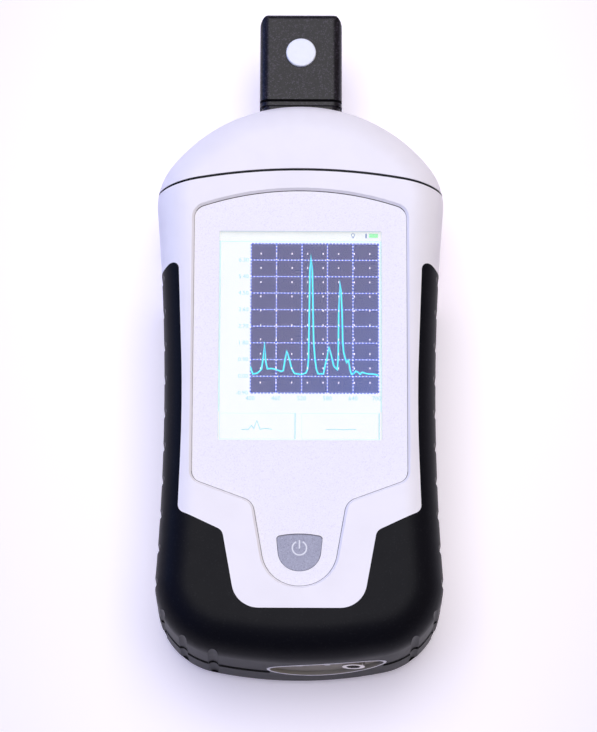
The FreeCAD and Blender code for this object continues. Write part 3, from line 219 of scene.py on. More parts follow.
def mix_colours(tree, factor, first, second, blend="MIX"):
    node = tree.nodes.new("ShaderNodeMix")
    node.data_type = "RGBA"
    node.blend_type = blend
    fill(tree, node, {MIX_FACTOR: factor, MIX_FIRST: first, MIX_SECOND: second})
    return node.outputs[MIX_RESULT]


class Surface:
    """A material under way: its shader, and short ways to add grain and variation."""

    PATCH_DETAIL = 4.0
    PATCH_TINT = (0.35, 0.7)
    PATCH_ROUGHNESS = (0.3, 0.7)

    def __init__(self, name, colour, roughness, metallic=0.0, **sockets):
        self.material = bpy.data.materials.new(name)
        self.material.use_nodes = True
        self.tree = self.material.node_tree
        self.shader = self.tree.nodes["Principled BSDF"]
        self.colour = colour
        self.roughness = roughness
        inputs = {"Base Color": (*colour, 1), "Roughness": roughness, "Metallic": metallic}
        inputs.update((socket.replace("_", " "), value) for socket, value in sockets.items())
        fill(self.tree, self.shader, inputs)
        self.place = self.tree.nodes.new("ShaderNodeTexCoord").outputs["Object"]

    def noise(self, size, detail, stretch):
        """Noise whose features are about size metres across, with its axes scaled if asked."""
        place = self.place
        if stretch:
            mapping = add_node(self.tree, "ShaderNodeMapping", {"Vector": place, "Scale": stretch})
            place = mapping.outputs["Vector"]
        inputs = {"Vector": place, "Scale": 1 / size, "Detail": detail}
        return add_node(self.tree, "ShaderNodeTexNoise", inputs).outputs["Fac"]

    def ramp(self, value, low, high, from_value=0, to_value=1):
        """The value between low and high, mapped to the numbers from_value to to_value."""
        inputs = {"Value": value, "From Min": low, "From Max": high, "To Min": from_value, "To Max": to_value}
        return add_node(self.tree, "ShaderNodeMapRange", inputs).outputs["Result"]

    def tint(self, factor, other):
        """Mixes another colour in by the factor, over what is there."""
        base = self.shader.inputs["Base Color"]
        below = base.links[0].from_socket if base.links else (*self.colour, 1)
        self.tree.links.new(mix_colours(self.tree, factor, below, (*other, 1)), base)
        return self

    def cloud(self, other, size, low, high, detail, stretch=None):
        """Mixes another colour in where a noise rises from low to high."""
        return self.tint(self.ramp(self.noise(size, detail, stretch), low, high), other)

    def vary(self, size, amount, stretch=None):
        """Lets colour and roughness wander a little over patches of a size."""
        field = self.noise(size, self.PATCH_DETAIL, stretch)
        darker = tuple(channel * (1 - amount) for channel in self.colour)
        self.tint(self.ramp(field, *self.PATCH_TINT), darker)
        smoothest, roughest = self.roughness * (1 - amount), self.roughness * (1 + amount)
        wandering = self.ramp(field, *self.PATCH_ROUGHNESS, smoothest, roughest)
        self.tree.links.new(wandering, self.shader.inputs["Roughness"])
        return self

    def bump(self, size, height, strength=1.0, detail=2.0, stretch=None):
        """Fine relief, with bumps about size metres across."""
        inputs = {"Strength": strength, "Distance": height, "Height": self.noise(size, detail, stretch)}
        relief = add_node(self.tree, "ShaderNodeBump", inputs)
        self.tree.links.new(relief.outputs["Normal"], self.shader.inputs["Normal"])
        return self

    def speckle(self, size, low, high, other):
        """Small scattered flecks of another colour."""
        cells = add_node(self.tree, "ShaderNodeTexVoronoi", {"Vector": self.place, "Scale": 1 / size})
        parted = add_node(self.tree, "ShaderNodeSeparateColor", {"Color": cells.outputs["Color"]})
        return self.tint(self.ramp(parted.outputs["Red"], low, high), other)


# Materials

def shell_plastic():
    surface = Surface("shell_plastic", SHELL_WHITE, 0.42, Specular_IOR_Level=0.42)
    return surface.vary(9 * MM, 0.03).bump(0.22 * MM, 0.006 * MM, 0.5)


def overlay_film():
    surface = Surface("overlay_film", OVERLAY_WHITE, 0.5, Specular_IOR_Level=0.4)
    surface.speckle(0.16 * MM, 0.78, 0.98, (0.92, 0.90, 0.98))
    surface.speckle(0.21 * MM, 0.80, 0.99, (0.78, 0.74, 0.86))
    return surface.bump(0.18 * MM, 0.012 * MM, 0.6)


def grip_rubber():
    surface = Surface("grip_rubber", RUBBER_BLACK, 0.42, Specular_IOR_Level=0.085)
    surface.vary(4 * MM, 0.04)
    surface.speckle(0.3 * MM, 0.90, 1.0, (0.008, 0.008, 0.011))
    return surface.bump(0.2 * MM, 0.008 * MM, 0.5)


def seal_rubber():
    surface = Surface("seal_rubber", (0.006, 0.006, 0.008), 0.6, Specular_IOR_Level=0.25)
    return surface.vary(2 * MM, 0.15).bump(0.15 * MM, 0.008 * MM)


def parting_painted_shade():
    surface = Surface("parting_painted_shade", (0.002, 0.002, 0.002), 0.8, Specular_IOR_Level=0.02)
    return surface.vary(1 * MM, 0.2)


def painted_shade_grey(name, colour):
    surface = Surface(name, colour, 0.7, Specular_IOR_Level=0.05)
    return surface.vary(1 * MM, 0.1)


def key_film():
    surface = Surface("key_film", (0.31, 0.315, 0.42), 0.45)
    surface.speckle(0.24 * MM, 0.55, 1.0, (0.41, 0.41, 0.53))
    surface.speckle(0.20 * MM, 0.60, 1.0, (0.23, 0.23, 0.32))
    return surface.bump(0.2 * MM, 0.012 * MM, 0.6)


def key_print():
    surface = Surface("key_print", (0.72, 0.72, 0.79), 0.45)
    return surface.vary(0.6 * MM, 0.05).bump(0.15 * MM, 0.004 * MM)


def touch_glass():
    surface = Surface("touch_glass", (1.0, 1.0, 1.0), 0.0, Transmission_Weight=1.0, IOR=1.2)
    surface.cloud((0.985, 0.99, 0.995), 9 * MM, 0.4, 0.7, detail=4.0)
    return surface.bump(6 * MM, 0.001 * MM, 0.3)


def lit(name, glow, strength=1.0):
    """A dot or field of the lit display; also gives the window's wall its painted glow."""
    body = tuple(channel * LIT_BODY for channel in glow)
    surface = Surface(name, body, 0.6, Specular_IOR_Level=0.1,
                      Emission_Color=(*glow, 1), Emission_Strength=strength)
    return surface.bump(0.18 * MM, 0.001 * MM, 0.2)


def lit_slate():
    """The plot's ground, bluer towards its lower right corner."""
    surface = lit("display_slate", (0.125, 0.125, 0.26))
    plain, bluer = (0.095, 0.095, 0.215, 1), (0.08, 0.11, 0.34, 1)
    right_and_down = (1, -1, 0)
    reach = 40 * MM
    way = reckon(surface.tree, "ShaderNodeVectorMath", "DOT_PRODUCT", surface.place, right_and_down)
    glow = mix_colours(surface.tree, surface.ramp(way.outputs["Value"], 0.0, reach), plain, bluer)
    surface.tree.links.new(glow, surface.shader.inputs["Emission Color"])
    return surface


def white_frame_plastic():
    surface = Surface("white_frame_plastic", (0.72, 0.72, 0.7), 0.5)
    return surface.vary(4 * MM, 0.05).bump(0.3 * MM, 0.01 * MM)


def sheet_steel():
    surface = Surface("sheet_steel", (0.55, 0.55, 0.54), 0.34, metallic=1.0)
    surface.vary(5 * MM, 0.12, stretch=(1, 12, 1))
    return surface.bump(0.12 * MM, 0.004 * MM, 0.5, stretch=(1, 14, 1))


def spring_steel():
    surface = Surface("spring_steel", (0.66, 0.65, 0.62), 0.22, metallic=1.0)
    return surface.vary(2 * MM, 0.1).bump(0.1 * MM, 0.002 * MM, 0.4)


def screw_steel():
    surface = Surface("screw_steel", (0.50, 0.50, 0.52), 0.3, metallic=1.0)
    return surface.vary(0.8 * MM, 0.18).bump(0.12 * MM, 0.006 * MM, 0.6)


def circuit_board():
    surface = Surface("circuit_board", (0.015, 0.16, 0.06), 0.35, Coat_Weight=0.3)
    surface.cloud((0.03, 0.24, 0.09), 1.4 * MM, 0.56, 0.6, detail=1.0, stretch=(6, 1, 1))
    surface.speckle(0.9 * MM, 0.93, 0.95, (0.6, 0.45, 0.12))
    return surface.bump(0.5 * MM, 0.01 * MM)


def chip_plastic():
    surface = Surface("chip_plastic", (0.02, 0.02, 0.022), 0.5)
    return surface.vary(2 * MM, 0.2).bump(0.12 * MM, 0.008 * MM)


def flex_film():
    """Amber film with conductors that run along Y."""
    along = (1, 0.02, 0.02)
    surface = Surface("flex_film", (0.45, 0.17, 0.03), 0.3, Coat_Weight=0.4)
    surface.cloud((0.30, 0.10, 0.02), 0.5 * MM, 0.5, 0.54, detail=0.0, stretch=along)
    return surface.bump(0.5 * MM, 0.01 * MM, 0.5, detail=0.0, stretch=along)


def cell_wrap():
    surface = Surface("cell_wrap", (0.02, 0.10, 0.32), 0.25, Coat_Weight=0.5)
    return surface.vary(8 * MM, 0.08).bump(2.5 * MM, 0.03 * MM, 0.4)


def cradle_plastic():
    surface = Surface("cradle_plastic", (0.03, 0.03, 0.033), 0.5)
    return surface.vary(4 * MM, 0.12).bump(0.3 * MM, 0.012 * MM)


def wire_sleeve():
    surface = Surface("wire_sleeve", (0.42, 0.02, 0.02), 0.4)
    return surface.vary(2 * MM, 0.1).bump(0.3 * MM, 0.006 * MM)


def port_panel():
    surface = Surface("port_panel", (0.30, 0.275, 0.235), 0.5, Specular_IOR_Level=0.03)
    surface.vary(3 * MM, 0.1, stretch=(0.3, 3, 3))
    return surface.bump(0.12 * MM, 0.008 * MM, 0.5, stretch=(0.15, 4, 4))


def port_trim_painted_shade():
    """White where it faces out of the tail, with painted warm-grey shade on its inner walls, where the recess
    lies in shadow.
    """
    surface = Surface("port_trim_painted_shade", (0.74, 0.72, 0.76), 0.42, Specular_IOR_Level=0.3)
    normal = surface.tree.nodes.new("ShaderNodeNewGeometry").outputs["Normal"]
    parted = add_node(surface.tree, "ShaderNodeSeparateXYZ", {"Vector": normal})
    endways = reckon(surface.tree, "ShaderNodeMath", "ABSOLUTE", parted.outputs["Y"])
    # Painted shade: walls that face across the tail, into the recess, turn warm grey.
    surface.tint(surface.ramp(endways.outputs["Value"], 0.3, 0.7, 1, 0), (0.34, 0.31, 0.26))
    return surface.bump(0.3 * MM, 0.006 * MM, 0.5)


def nickel():
    surface = Surface("nickel", (0.74, 0.71, 0.68), 0.2, metallic=1.0)
    return surface.vary(1 * MM, 0.1).bump(0.15 * MM, 0.004 * MM, 0.5)


def lens_plastic():
    surface = Surface("lens_plastic", (0.02, 0.018, 0.02), 0.15, Coat_Weight=0.6)
    return surface.vary(0.6 * MM, 0.1).bump(0.3 * MM, 0.003 * MM)


def head_alloy():
    surface = Surface("head_alloy", (0.0045, 0.0035, 0.0065), 0.30, Specular_IOR_Level=0.24)
    surface.vary(2.5 * MM, 0.08)
    surface.speckle(0.28 * MM, 0.70, 1.0, (0.045, 0.037, 0.055))
    return surface.bump(0.28 * MM, 0.03 * MM, 0.7)


def diffuser_white():
    surface = Surface("diffuser_white", (0.80, 0.82, 0.92), 0.35, Subsurface_Weight=0.3,
                      Subsurface_Radius=(1.0, 1.0, 1.2), Subsurface_Scale=1.2 * MM)
    return surface.vary(1.5 * MM, 0.03).bump(0.12 * MM, 0.004 * MM)


def optic_mirror():
    surface = Surface("optic_mirror", (0.86, 0.87, 0.88), 0.06, metallic=1.0)
    return surface.vary(3 * MM, 0.03).bump(1 * MM, 0.001 * MM, 0.2)


def grating_mirror():
    surface = Surface("grating_mirror", (0.75, 0.78, 0.85), 0.15, metallic=1.0)
    surface.vary(2 * MM, 0.08)
    return surface.bump(0.06 * MM, 0.003 * MM, 0.6, detail=0.0, stretch=(14, 14, 0.2))


def guide_glass():
    surface = Surface("guide_glass", (0.93, 0.98, 0.97), 0.05, Transmission_Weight=1.0, IOR=1.5)
    return surface.bump(1 * MM, 0.002 * MM, 0.3)


def bench_alloy():
    surface = Surface("bench_alloy", (0.03, 0.03, 0.032), 0.38, metallic=0.4)
    surface.vary(5 * MM, 0.12, stretch=(1, 8, 1))
    return surface.bump(0.2 * MM, 0.01 * MM, 0.6, stretch=(1, 10, 1))


def ceramic():
    surface = Surface("ceramic", (0.55, 0.52, 0.44), 0.45)
    surface.speckle(0.4 * MM, 0.9, 0.95, (0.35, 0.32, 0.26))
    return surface.bump(0.2 * MM, 0.006 * MM)


NODE_LOOKS = {
    shell_plastic: ("front_shell", "rear_shell", "top_cap"),
    port_trim_painted_shade: ("port_frame",),
    grip_rubber: ("front_grip", "rear_grip"),
    seal_rubber: ("cap_gasket", "case_seal"),
    screw_steel: ("case_screws", "cap_screws", "tray_screws", "key_board_screws", "board_screws",
                  "head_screws", "collar_screws", "bench_cover_screws", "bench_mount_screws",
                  "guide_ferrule"),
    overlay_film: ("membrane_overlay",),
    white_frame_plastic: ("backlight_frame", "lcd_panel"),
    sheet_steel: ("display_tray",),
    flex_film: ("display_flex",),
    key_film: ("power_key",),
    spring_steel: ("snap_dome", "slit_plate"),
    circuit_board: ("key_board", "main_board", "port_board", "detector_board"),
    chip_plastic: ("board_components", "status_leds"),
    cell_wrap: ("battery_cell",),
    cradle_plastic: ("battery_cradle", "jack_body"),
    wire_sleeve: ("battery_leads",),
    port_panel: ("port_plate",),
    nickel: ("jack_bush", "jack_nut"),
    lens_plastic: ("status_lenses",),
    head_alloy: ("head_block", "head_collar"),
    diffuser_white: ("diffuser",),
    optic_mirror: ("fold_mirror", "collimating_mirror", "focusing_mirror"),
    grating_mirror: ("grating",),
    guide_glass: ("light_guide",),
    bench_alloy: ("bench_body", "bench_cover"),
    ceramic: ("detector_array",),
    touch_glass: ("touch_panel",),
}


def dress_nodes():
    for look, names in NODE_LOOKS.items():
        material = look().material
        for name in names:
            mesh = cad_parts[name].data
            mesh.materials.clear()
            mesh.materials.append(material)


# Objects, and what is read from the nodes

def add_object(name, data):
    thing = bpy.data.objects.new(name, data)
    bpy.context.scene.collection.objects.link(thing)
    return thing


def middle_of(node):
    """The middle of a node's box seen from above, in millimetres."""
    low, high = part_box(node)
    return (low.x + high.x) / 2 / MM, (low.y + high.y) / 2 / MM


def corners_of(node):
    """The corners of a node's box seen from above, in metres."""
    low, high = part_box(node)
    return (low.x, low.y), (high.x, low.y), (high.x, high.y), (low.x, high.y)


def outer_walls(node, middle_y=0.0):
    """The upright faces of a node that look away from a place on its middle line.

    Gives the normal, the middle and the corners of each."""
    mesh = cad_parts[node].data
    for face in mesh.polygons:
        normal, middle = face.normal, face.center
        outward = normal.x * middle.x + normal.y * (middle.y - middle_y) > 0
        if outward and abs(normal.z) <= WALL_TILT:
            yield normal, middle, [mesh.vertices[v].co for v in face.vertices]


# Pieces made of small faces

def arc(x, y, radius, start, end, steps):
    """Points of an arc round a middle, clockwise from the top."""
    turns = (start + (end - start) * step / steps for step in range(steps + 1))
    return [(x + radius * math.sin(turn), y + radius * math.cos(turn)) for turn in turns]


class Picture:
    """Faces, each with a material, that become one piece.

    Flat faces are given in millimetres: x and y from the picture's middle, z from the bottom."""

    def __init__(self, middle=(0.0, 0.0)):
        self.middle = middle
        self.points = []
        self.faces = []
        self.looks = []

    def face(self, corners, look):
        """A face with its corners in metres of the frame."""
        first = len(self.points)
        self.points += corners
        self.faces.append(range(first, len(self.points)))
        self.looks.append(look)

    def strip(self, lower, upper, look):
        """A face between two lower and two upper ends, in metres of the frame."""
        self.face([lower[0], lower[1], upper[1], upper[0]], look)

    def polygon(self, points, z, look):
        middle_x, middle_y = self.middle
        self.face([((middle_x + x) * MM, (middle_y + y) * MM, z * MM) for x, y in points], look)

    def field(self, x0, x1, y0, y1, z, look):
        self.polygon([(x0, y0), (x1, y0), (x1, y1), (x0, y1)], z, look)

    def spot(self, x, y, width, height, z, look):
        self.field(x - width / 2, x + width / 2, y - height / 2, y + height / 2, z, look)

    def border(self, x0, x1, y0, y1, width, z, look):
        self.field(x0, x1, y0, y0 + width, z, look)
        self.field(x0, x1, y1 - width, y1, z, look)
        self.field(x0, x0 + width, y0 + width, y1 - width, z, look)
        self.field(x1 - width, x1, y0 + width, y1 - width, z, look)

    def line(self, points, width, z, look):
        """A line of even width with mitred corners."""
        left, right = [], []
        for index, point in enumerate(points):
            before = Vector(points[max(index - 1, 0)])
            after = Vector(points[min(index + 1, len(points) - 1)])
            here = Vector(point)
            into = (here - before).normalized() if index else (after - here).normalized()
            out = (after - here).normalized() if index < len(points) - 1 else into
            normal = Vector((-(into + out).y, (into + out).x)).normalized()
            across = max(normal.dot(Vector((-into.y, into.x))), MITRE_LIMIT)
            left.append(here + normal * (width / 2 / across))
            right.append(here - normal * (width / 2 / across))
        for index in range(len(points) - 1):
            self.polygon([right[index], right[index + 1], left[index + 1], left[index]], z, look)

    def figures(self, text, x, y, height, z, look, align="CENTER"):
        """Plain numbers set at a point."""
        curve = bpy.data.curves.new("figures", "FONT")
        curve.body = text
        curve.size = height / FIGURE_SHARE
        curve.align_x = align
        curve.align_y = "CENTER"
        curve.resolution_u = FIGURE_STEPS
        temporary = bpy.data.objects.new("figures", curve)
        mesh = bpy.data.meshes.new_from_object(temporary)
        for face in mesh.polygons:
            corners = [mesh.vertices[v].co for v in face.vertices]
            self.polygon([(x + corner.x, y + corner.y) for corner in corners], z, look)
        bpy.data.objects.remove(temporary)
        bpy.data.curves.remove(curve)
        bpy.data.meshes.remove(mesh)

    def piece(self, name, body, material_slot):
        mesh = bpy.data.meshes.new(name)
        mesh.from_pydata(self.points, [], self.faces)
        used = list(dict.fromkeys(self.looks))
        for look in used:
            mesh.materials.append(look)
        for face, look in zip(mesh.polygons, self.looks):
            face.material_index = used.index(look)
        mesh.update()
        piece = add_object(name, mesh)
        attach(piece, body)


# Display

DISPLAY_GLOWS = {
    "paper": ((0.95, 0.985, 1.0), 0.75),
    "dots": ((0.95, 0.97, 1.0), 1.1),
    "edge_blue": ((0.07, 0.14, 0.72), 1.0),
    "cyan": ((0.102, 0.80, 1.0), 0.95),
    "pale_cyan": ((0.72, 0.96, 1.0), 0.75),
    "ink": ((0.42, 0.78, 0.88), 0.7),
    "green": ((0.36, 0.93, 0.48), 0.8),
    "dark_blue": ((0.10, 0.17, 0.42), 1.0),
    "spacer": ((0.72, 0.66, 0.74), 1.7),
}

lcd_x, lcd_y = middle_of("lcd_panel")
lcd_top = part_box("lcd_panel")[1].z / MM
SCREEN_MIDDLE = (lcd_x, lcd_y + SCREEN_RAISE)
WINDOW_MIDDLE = (lcd_x, lcd_y + SCREEN_RAISE + WINDOW_RAISE)
GROUND_Z, FIELD_Z, GRID_Z, MARK_Z, CURVE_Z, SPACER_Z = (
    lcd_top + LAYER_STEP * layer for layer in (1, 2, 2.5, 3, 4, 5))


def draw_ground(picture, looks):
    """White over the whole panel, pale lines round the plot, and the plot's own ground."""
    picture.face([(x, y, GROUND_Z * MM) for x, y in corners_of("lcd_panel")], looks["paper"])
    picture.spot(0.0, MENU_EDGE, 2 * LIT_HALF_X, MENU_LINE, FIELD_Z, looks["pale_cyan"])
    for x in SIDE_LINE_PLACES:
        left, right = x - SIDE_LINE / 2, x + SIDE_LINE / 2
        picture.field(left, right, SIDE_LINE_FOOT, MENU_EDGE, FIELD_Z, looks["pale_cyan"])
    picture.field(PLOT_LEFT, PLOT_RIGHT, PLOT_LOW, PLOT_TOP, FIELD_Z, looks["slate"])


def draw_columns(picture, looks):
    """Upright lines of the grid with their dots, and a number below each."""
    for line in range(COLUMN_COUNT + 1):
        x = PLOT_LEFT + line * COLUMN_STEP
        left, right = x - GRID_LINE / 2, x + GRID_LINE / 2
        picture.field(left, right, PLOT_LOW, PLOT_TOP, GRID_Z, looks["edge_blue"])
        for dot in range(int((PLOT_TOP - PLOT_LOW) / DOT_PITCH) + 1):
            picture.spot(x, PLOT_LOW + dot * DOT_PITCH, DOT_SIZE, DOT_SIZE, MARK_Z, looks["dots"])
        number = str(FIRST_NUMBER + line * NUMBER_STEP)
        number_x = min(x, LIT_HALF_X - LAST_NUMBER_INSET)
        picture.figures(number, number_x, PLOT_LOW - NUMBER_DROP, NUMBER_HEIGHT, FIELD_Z, looks["ink"])


def draw_rows(picture, looks):
    """Level lines of the grid with their dots, and a value left of each but the highest."""
    for line in range(ROW_COUNT + 1):
        y = PLOT_LOW + line * ROW_STEP
        low, high = y - GRID_LINE / 2, y + GRID_LINE / 2
        picture.field(PLOT_LEFT, PLOT_RIGHT, low, high, GRID_Z, looks["edge_blue"])
        for dot in range(int((PLOT_RIGHT - PLOT_LEFT) / DOT_PITCH) + 1):
            picture.spot(PLOT_LEFT + dot * DOT_PITCH, y, DOT_SIZE, DOT_SIZE, MARK_Z, looks["dots"])
        if line < ROW_COUNT:
            value = f"{LOWEST_VALUE + line * VALUE_STEP:.2f}"
            picture.figures(value, PLOT_LEFT - VALUE_GAP, y, VALUE_HEIGHT, FIELD_Z, looks["ink"], "RIGHT")


def draw_curve(picture, looks):
    points = []
    for number, value in CURVE:
        x = PLOT_LEFT + (number - FIRST_NUMBER) / NUMBER_STEP * COLUMN_STEP
        y = PLOT_LOW + (value - LOWEST_VALUE) / VALUE_STEP * ROW_STEP
        points.append((x, y))
    picture.line(points, CURVE_WIDTH, CURVE_Z, looks["cyan"])


def draw_spacers(picture, looks):
    for across in range(SPACER_COUNT_X):
        for down in range(SPACER_COUNT_Y):
            x = SPACER_LEFT + across * SPACER_PITCH_X
            y = SPACER_TOP - down * SPACER_PITCH_Y
            picture.spot(x, y, SPACER_WIDTH, SPACER_HEIGHT, SPACER_Z, looks["spacer"])


def draw_buttons(picture, looks):
    for x0, x1 in BUTTON_SIDES:
        picture.border(x0, x1, BUTTON_LOW, BUTTON_TOP, BUTTON_LINE, FIELD_Z, looks["pale_cyan"])
        picture.field(x1 - BUTTON_SHADE, x1, BUTTON_LOW, BUTTON_TOP, GRID_Z, looks["ink"])
    button_y = (BUTTON_LOW + BUTTON_TOP) / 2
    for curve_x, curve in ((PEAK_CURVE_X, PEAK_CURVE), (FLAT_CURVE_X, FLAT_CURVE)):
        points = [(curve_x + x, button_y + y) for x, y in curve]
        picture.line(points, BUTTON_CURVE_WIDTH, MARK_Z, looks["ink"])


def draw_menu_signs(picture, looks):
    picture.field(*BAR_SIGN, MARK_Z, looks["dark_blue"])
    picture.field(*CELL_SIGN, MARK_Z, looks["green"])
    ring = arc(PIN_X, PIN_Y, PIN_RADIUS, 0.0, math.tau, PIN_STEPS)
    picture.line(ring, PIN_LINE, MARK_Z, looks["dark_blue"])
    foot = [(PIN_X, PIN_Y - PIN_RADIUS), (PIN_X, PIN_FOOT)]
    picture.line(foot, PIN_FOOT_WIDTH, MARK_Z, looks["dark_blue"])


def build_display():
    """The lit picture, in thin layers on the panel."""
    looks = {name: lit(f"display_{name}", *glow).material for name, glow in DISPLAY_GLOWS.items()}
    looks["slate"] = lit_slate().material
    picture = Picture(SCREEN_MIDDLE)
    draw_ground(picture, looks)
    draw_columns(picture, looks)
    draw_rows(picture, looks)
    draw_curve(picture, looks)
    draw_spacers(picture, looks)
    draw_buttons(picture, looks)
    draw_menu_signs(picture, looks)
    picture.piece("display_picture", "instrument", "display")


def build_glass():
    """The touch panel as a clear plate that leaves a hair's breadth for the lit picture below it."""
    low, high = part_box("touch_panel")
    points = [(x, y, z) for z in (low.z + GLASS_GAP, high.z) for x, y in corners_of("touch_panel")]
    faces = [(3, 2, 1, 0), (4, 5, 6, 7)]
    faces += [(corner, (corner + 1) % 4, (corner + 1) % 4 + 4, corner + 4) for corner in range(4)]
    mesh = bpy.data.meshes.new("touch_plate")
    mesh.from_pydata(points, [], faces)
    mesh.materials.append(touch_glass().material)
    plate = add_object("touch_plate", mesh)
    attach(plate, "instrument")
    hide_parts("touch_panel")


# Pieces on the overlay, the key and the grips: painted glow, painted shade and the key's print

def build_window_rim():
    """The wall of the window in the overlay, with a painted glow that stands for the display's light on it.
    """
    low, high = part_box("membrane_overlay")
    # Painted light: the wall glows pale cyan where it would lie in shade.
    look = lit("window_rim_painted_glow", (0.62, 0.74, 0.86), 0.8).material
    middle_x, middle_y = WINDOW_MIDDLE
    rings = []
    for inset, z in ((RIM_FOOT_INSET, low.z), (RIM_TOP_INSET, high.z)):
        half_x, half_y = LIT_HALF_X - inset, LIT_HALF_Y - inset
        rings.append([((middle_x + across * half_x) * MM, (middle_y + along * half_y) * MM, z)
                      for across, along in SQUARE])
    foot, top = rings
    picture = Picture()
    for corner in range(4):
        after = (corner + 1) % 4
        picture.face([foot[corner], top[corner], top[after], foot[after]], look)
    picture.piece("window_rim_painted_glow", "instrument", "white_overlay")


def build_overlay_edge():
    """Painted shade in the gap round the film: grey strips, darkest towards the head."""
    # Painted shade in three strengths: darkest on walls facing the head, palest beside the window, middling
    # below it.
    dark = painted_shade_grey("painted_shade_dark", (0.085, 0.075, 0.07)).material
    middling = painted_shade_grey("painted_shade_middling", (0.16, 0.155, 0.17)).material
    pale = painted_shade_grey("painted_shade_pale", (0.48, 0.45, 0.45)).material
    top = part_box("membrane_overlay")[1].z
    window_y = WINDOW_MIDDLE[1] * MM
    picture = Picture()
    for normal, middle, corners in outer_walls("membrane_overlay", window_y):
        ends = [corner for corner in corners if top - corner.z < AT_EDGE][:2]
        if len(ends) < 2:
            continue
        if normal.y > HEADWARD:
            look = dark
        elif middle.y > window_y - LIT_HALF_Y * MM:
            look = pale
        else:
            look = middling
        inner, outer = ([(end.x + normal.x * shift, end.y + normal.y * shift, z) for end in ends]
                        for shift, z in ((-EDGE_INSET, top + EDGE_FOOT), (EDGE_REACH, top + EDGE_RISE)))
        picture.strip(inner, outer, look)
    picture.piece("overlay_painted_shade", "instrument", "white_overlay")


def build_key_sign():
    """Ring with a gap and an upright bar, printed on the key."""
    look = key_print().material
    key_x, key_y = middle_of("power_key")
    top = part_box("power_key")[1].z / MM + SIGN_LIFT
    picture = Picture((key_x, key_y + SIGN_RAISE))
    ring = arc(0.0, 0.0, RING_RADIUS, RING_GAP, math.tau - RING_GAP, RING_STEPS)
    picture.line(ring, SIGN_LINE, top, look)
    picture.line([(0.0, BAR_FOOT), (0.0, BAR_TOP)], SIGN_LINE, top, look)
    picture.piece("key_sign", "power_key", "key_film")


def build_parting_line():
    """Painted shade: a black strip over the joint of the two grips, standing for the shade in its groove,
    along the lower edge of the front one.
    """
    # Painted shade: a near-black, almost unlit strip lies over the groove.
    look = parting_painted_shade().material
    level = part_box("front_grip")[0].z + GROOVE_HEIGHT / 2
    edge = level + AT_EDGE
    picture = Picture()
    for normal, _, corners in outer_walls("front_grip"):
        corners.sort(key=lambda corner: corner.z)
        if corners[1].z > edge or corners[-1].z < edge:
            continue
        ends = [corner + normal * SHADE_STRIP_PROUD for corner in corners[:2]]
        lower, upper = ([(end.x, end.y, z) for end in ends] for z in (level - SHADE_STRIP_HEIGHT, level))
        picture.strip(lower, upper, look)
    picture.piece("parting_line", "instrument", "seal_rubber")


# Floor, light and camera

def seen_or_mirrored(surface):
    """One where the camera sees a surface, in a mirror or through glass too, and nought elsewhere."""
    rays = surface.tree.nodes.new("ShaderNodeLightPath").outputs
    seen = rays["Is Camera Ray"]
    for kind in ("Is Glossy Ray", "Is Transmission Ray"):
        seen = reckon(surface.tree, "ShaderNodeMath", "MAXIMUM", seen, rays[kind]).outputs["Value"]
    return seen


def floor_paint():
    """Pale paint that takes the shadow, with a glow that fades away from the object."""
    surface = Surface("floor", FLOOR_COLOUR, 0.9, Specular_IOR_Level=0.0)
    surface.vary(300 * MM, 0.004)
    tree = surface.tree
    shares = (1 / GLOW_REACH_X, 1 / GLOW_REACH_Y, 0)
    away = reckon(tree, "ShaderNodeVectorMath", "MULTIPLY", surface.place, shares).outputs["Vector"]
    distance = reckon(tree, "ShaderNodeVectorMath", "LENGTH", away).outputs["Value"]
    fade = surface.ramp(distance, GLOW_FADE_START, GLOW_FADE_END, GLOW_NEAR, GLOW_FAR)
    strength = reckon(tree, "ShaderNodeMath", "MULTIPLY", fade, seen_or_mirrored(surface)).outputs["Value"]
    glow = add_node(tree, "ShaderNodeEmission", {"Color": (*FLOOR_GLOW, 1), "Strength": strength})
    shaders = {0: surface.shader.outputs["BSDF"], 1: glow.outputs["Emission"]}
    both = add_node(tree, "ShaderNodeAddShader", shaders)
    tree.links.new(both.outputs["Shader"], tree.nodes["Material Output"].inputs["Surface"])
    return surface.material


def build_floor():
    corners = [(across * FLOOR_HALF, along * FLOOR_HALF, 0) for across, along in SQUARE]
    mesh = bpy.data.meshes.new("floor")
    mesh.from_pydata(corners, [], [(0, 1, 2, 3)])
    mesh.materials.append(floor_paint())
    floor = add_object("floor", mesh)


def greys(stops):
    """Stops of a position and a brightness, as stops of a colour."""
    return [(position, (brightness,) * 3) for position, brightness in stops]


def shaded(tree, value, stops):
    """The colour that a value between nought and one has on a smooth ramp."""
    node = add_node(tree, "ShaderNodeValToRGB", {"Fac": value})
    node.color_ramp.interpolation = "EASE"
    elements = node.color_ramp.elements
    while len(elements) < len(stops):
        elements.new(0.5)
    for element, (position, colour) in zip(elements, stops):
        element.position = position
        element.color = (*colour, 1)
    return node.outputs["Color"]


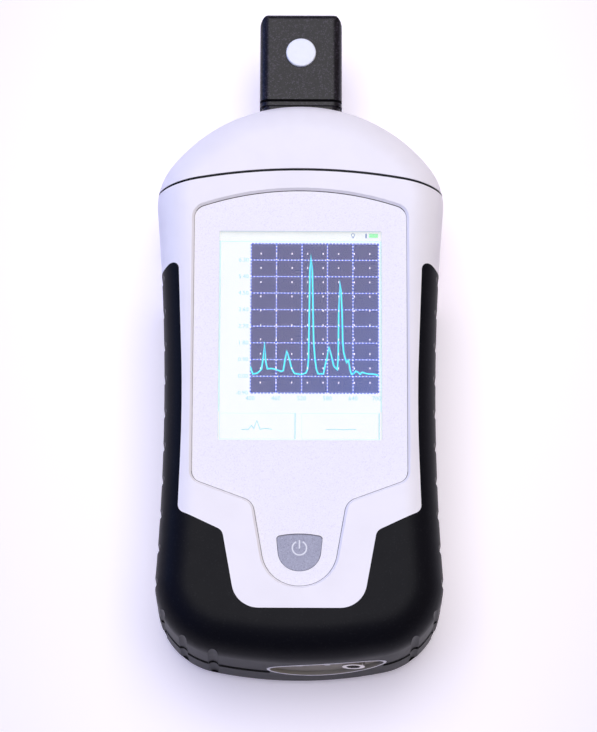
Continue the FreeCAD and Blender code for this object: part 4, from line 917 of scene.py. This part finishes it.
def build_studio():
    """A bright ceiling and dim walls, cool to the left and warm to the right."""
    world = bpy.data.worlds.new("studio")
    world.use_nodes = True
    bpy.context.scene.world = world
    tree = world.node_tree
    direction = tree.nodes.new("ShaderNodeTexCoord").outputs["Generated"]
    parted = add_node(tree, "ShaderNodeSeparateXYZ", {"Vector": direction}).outputs
    colour = shaded(tree, parted["Z"], greys(STUDIO_HEIGHT))
    for axis, stops in (("X", STUDIO_SIDE), ("Y", greys(STUDIO_DEPTH))):
        share = add_node(tree, "ShaderNodeMapRange", {"Value": parted[axis], "From Min": -1.0})
        tint = shaded(tree, share.outputs["Result"], stops)
        colour = mix_colours(tree, 1.0, colour, tint, "MULTIPLY")
    fill(tree, tree.nodes["Background"], {"Color": colour, "Strength": STUDIO_STRENGTH})


def add_lamp(name, place, aim, size, watts, colour):
    """A square lamp, with its places and size in metres."""
    light = bpy.data.lights.new(name, "AREA")
    light.shape = "SQUARE"
    light.size = size
    light.energy = watts
    light.color = colour
    lamp = add_object(name, light)
    lamp.location = place
    lamp.rotation_euler = (Vector(aim) - Vector(place)).to_track_quat("-Z", "Y").to_euler()


def build_camera():
    forward = Vector((0, math.sin(VIEW_TILT), -math.cos(VIEW_TILT)))
    right = Vector((1, 0, 0))
    up = right.cross(forward)
    turned_right = right * math.cos(VIEW_ROLL) + up * math.sin(VIEW_ROLL)
    turned_up = up * math.cos(VIEW_ROLL) - right * math.sin(VIEW_ROLL)
    data = bpy.data.cameras.new("camera")
    data.sensor_width = SENSOR
    data.lens = FOCAL_PIXELS * SENSOR / PICTURE_HEIGHT
    data.clip_start = CLIP_START
    camera = add_object("camera", data)
    axes = Matrix((turned_right, turned_up, -forward)).transposed()
    camera.matrix_world = Matrix.Translation(VIEW_TARGET - forward * VIEW_DISTANCE) @ axes.to_4x4()
    bpy.context.scene.camera = camera


dress_nodes()
build_display()
build_glass()
build_window_rim()
build_overlay_edge()
build_key_sign()
build_parting_line()

build_floor()
build_studio()
add_lamp("ceiling_lamp", place=(0.0, 0.38, 1.5), aim=(0, 0.3, 0), size=1.4, watts=19.0,
         colour=(1.0, 0.985, 0.98))
add_lamp("left_lamp", place=(-1.2, 0.38, 0.16), aim=(0, 0.06, 0.03), size=0.5, watts=1.5,
         colour=(0.12, 0.34, 1.0))
build_camera()
bpy.context.scene.view_settings.view_transform = "Standard"
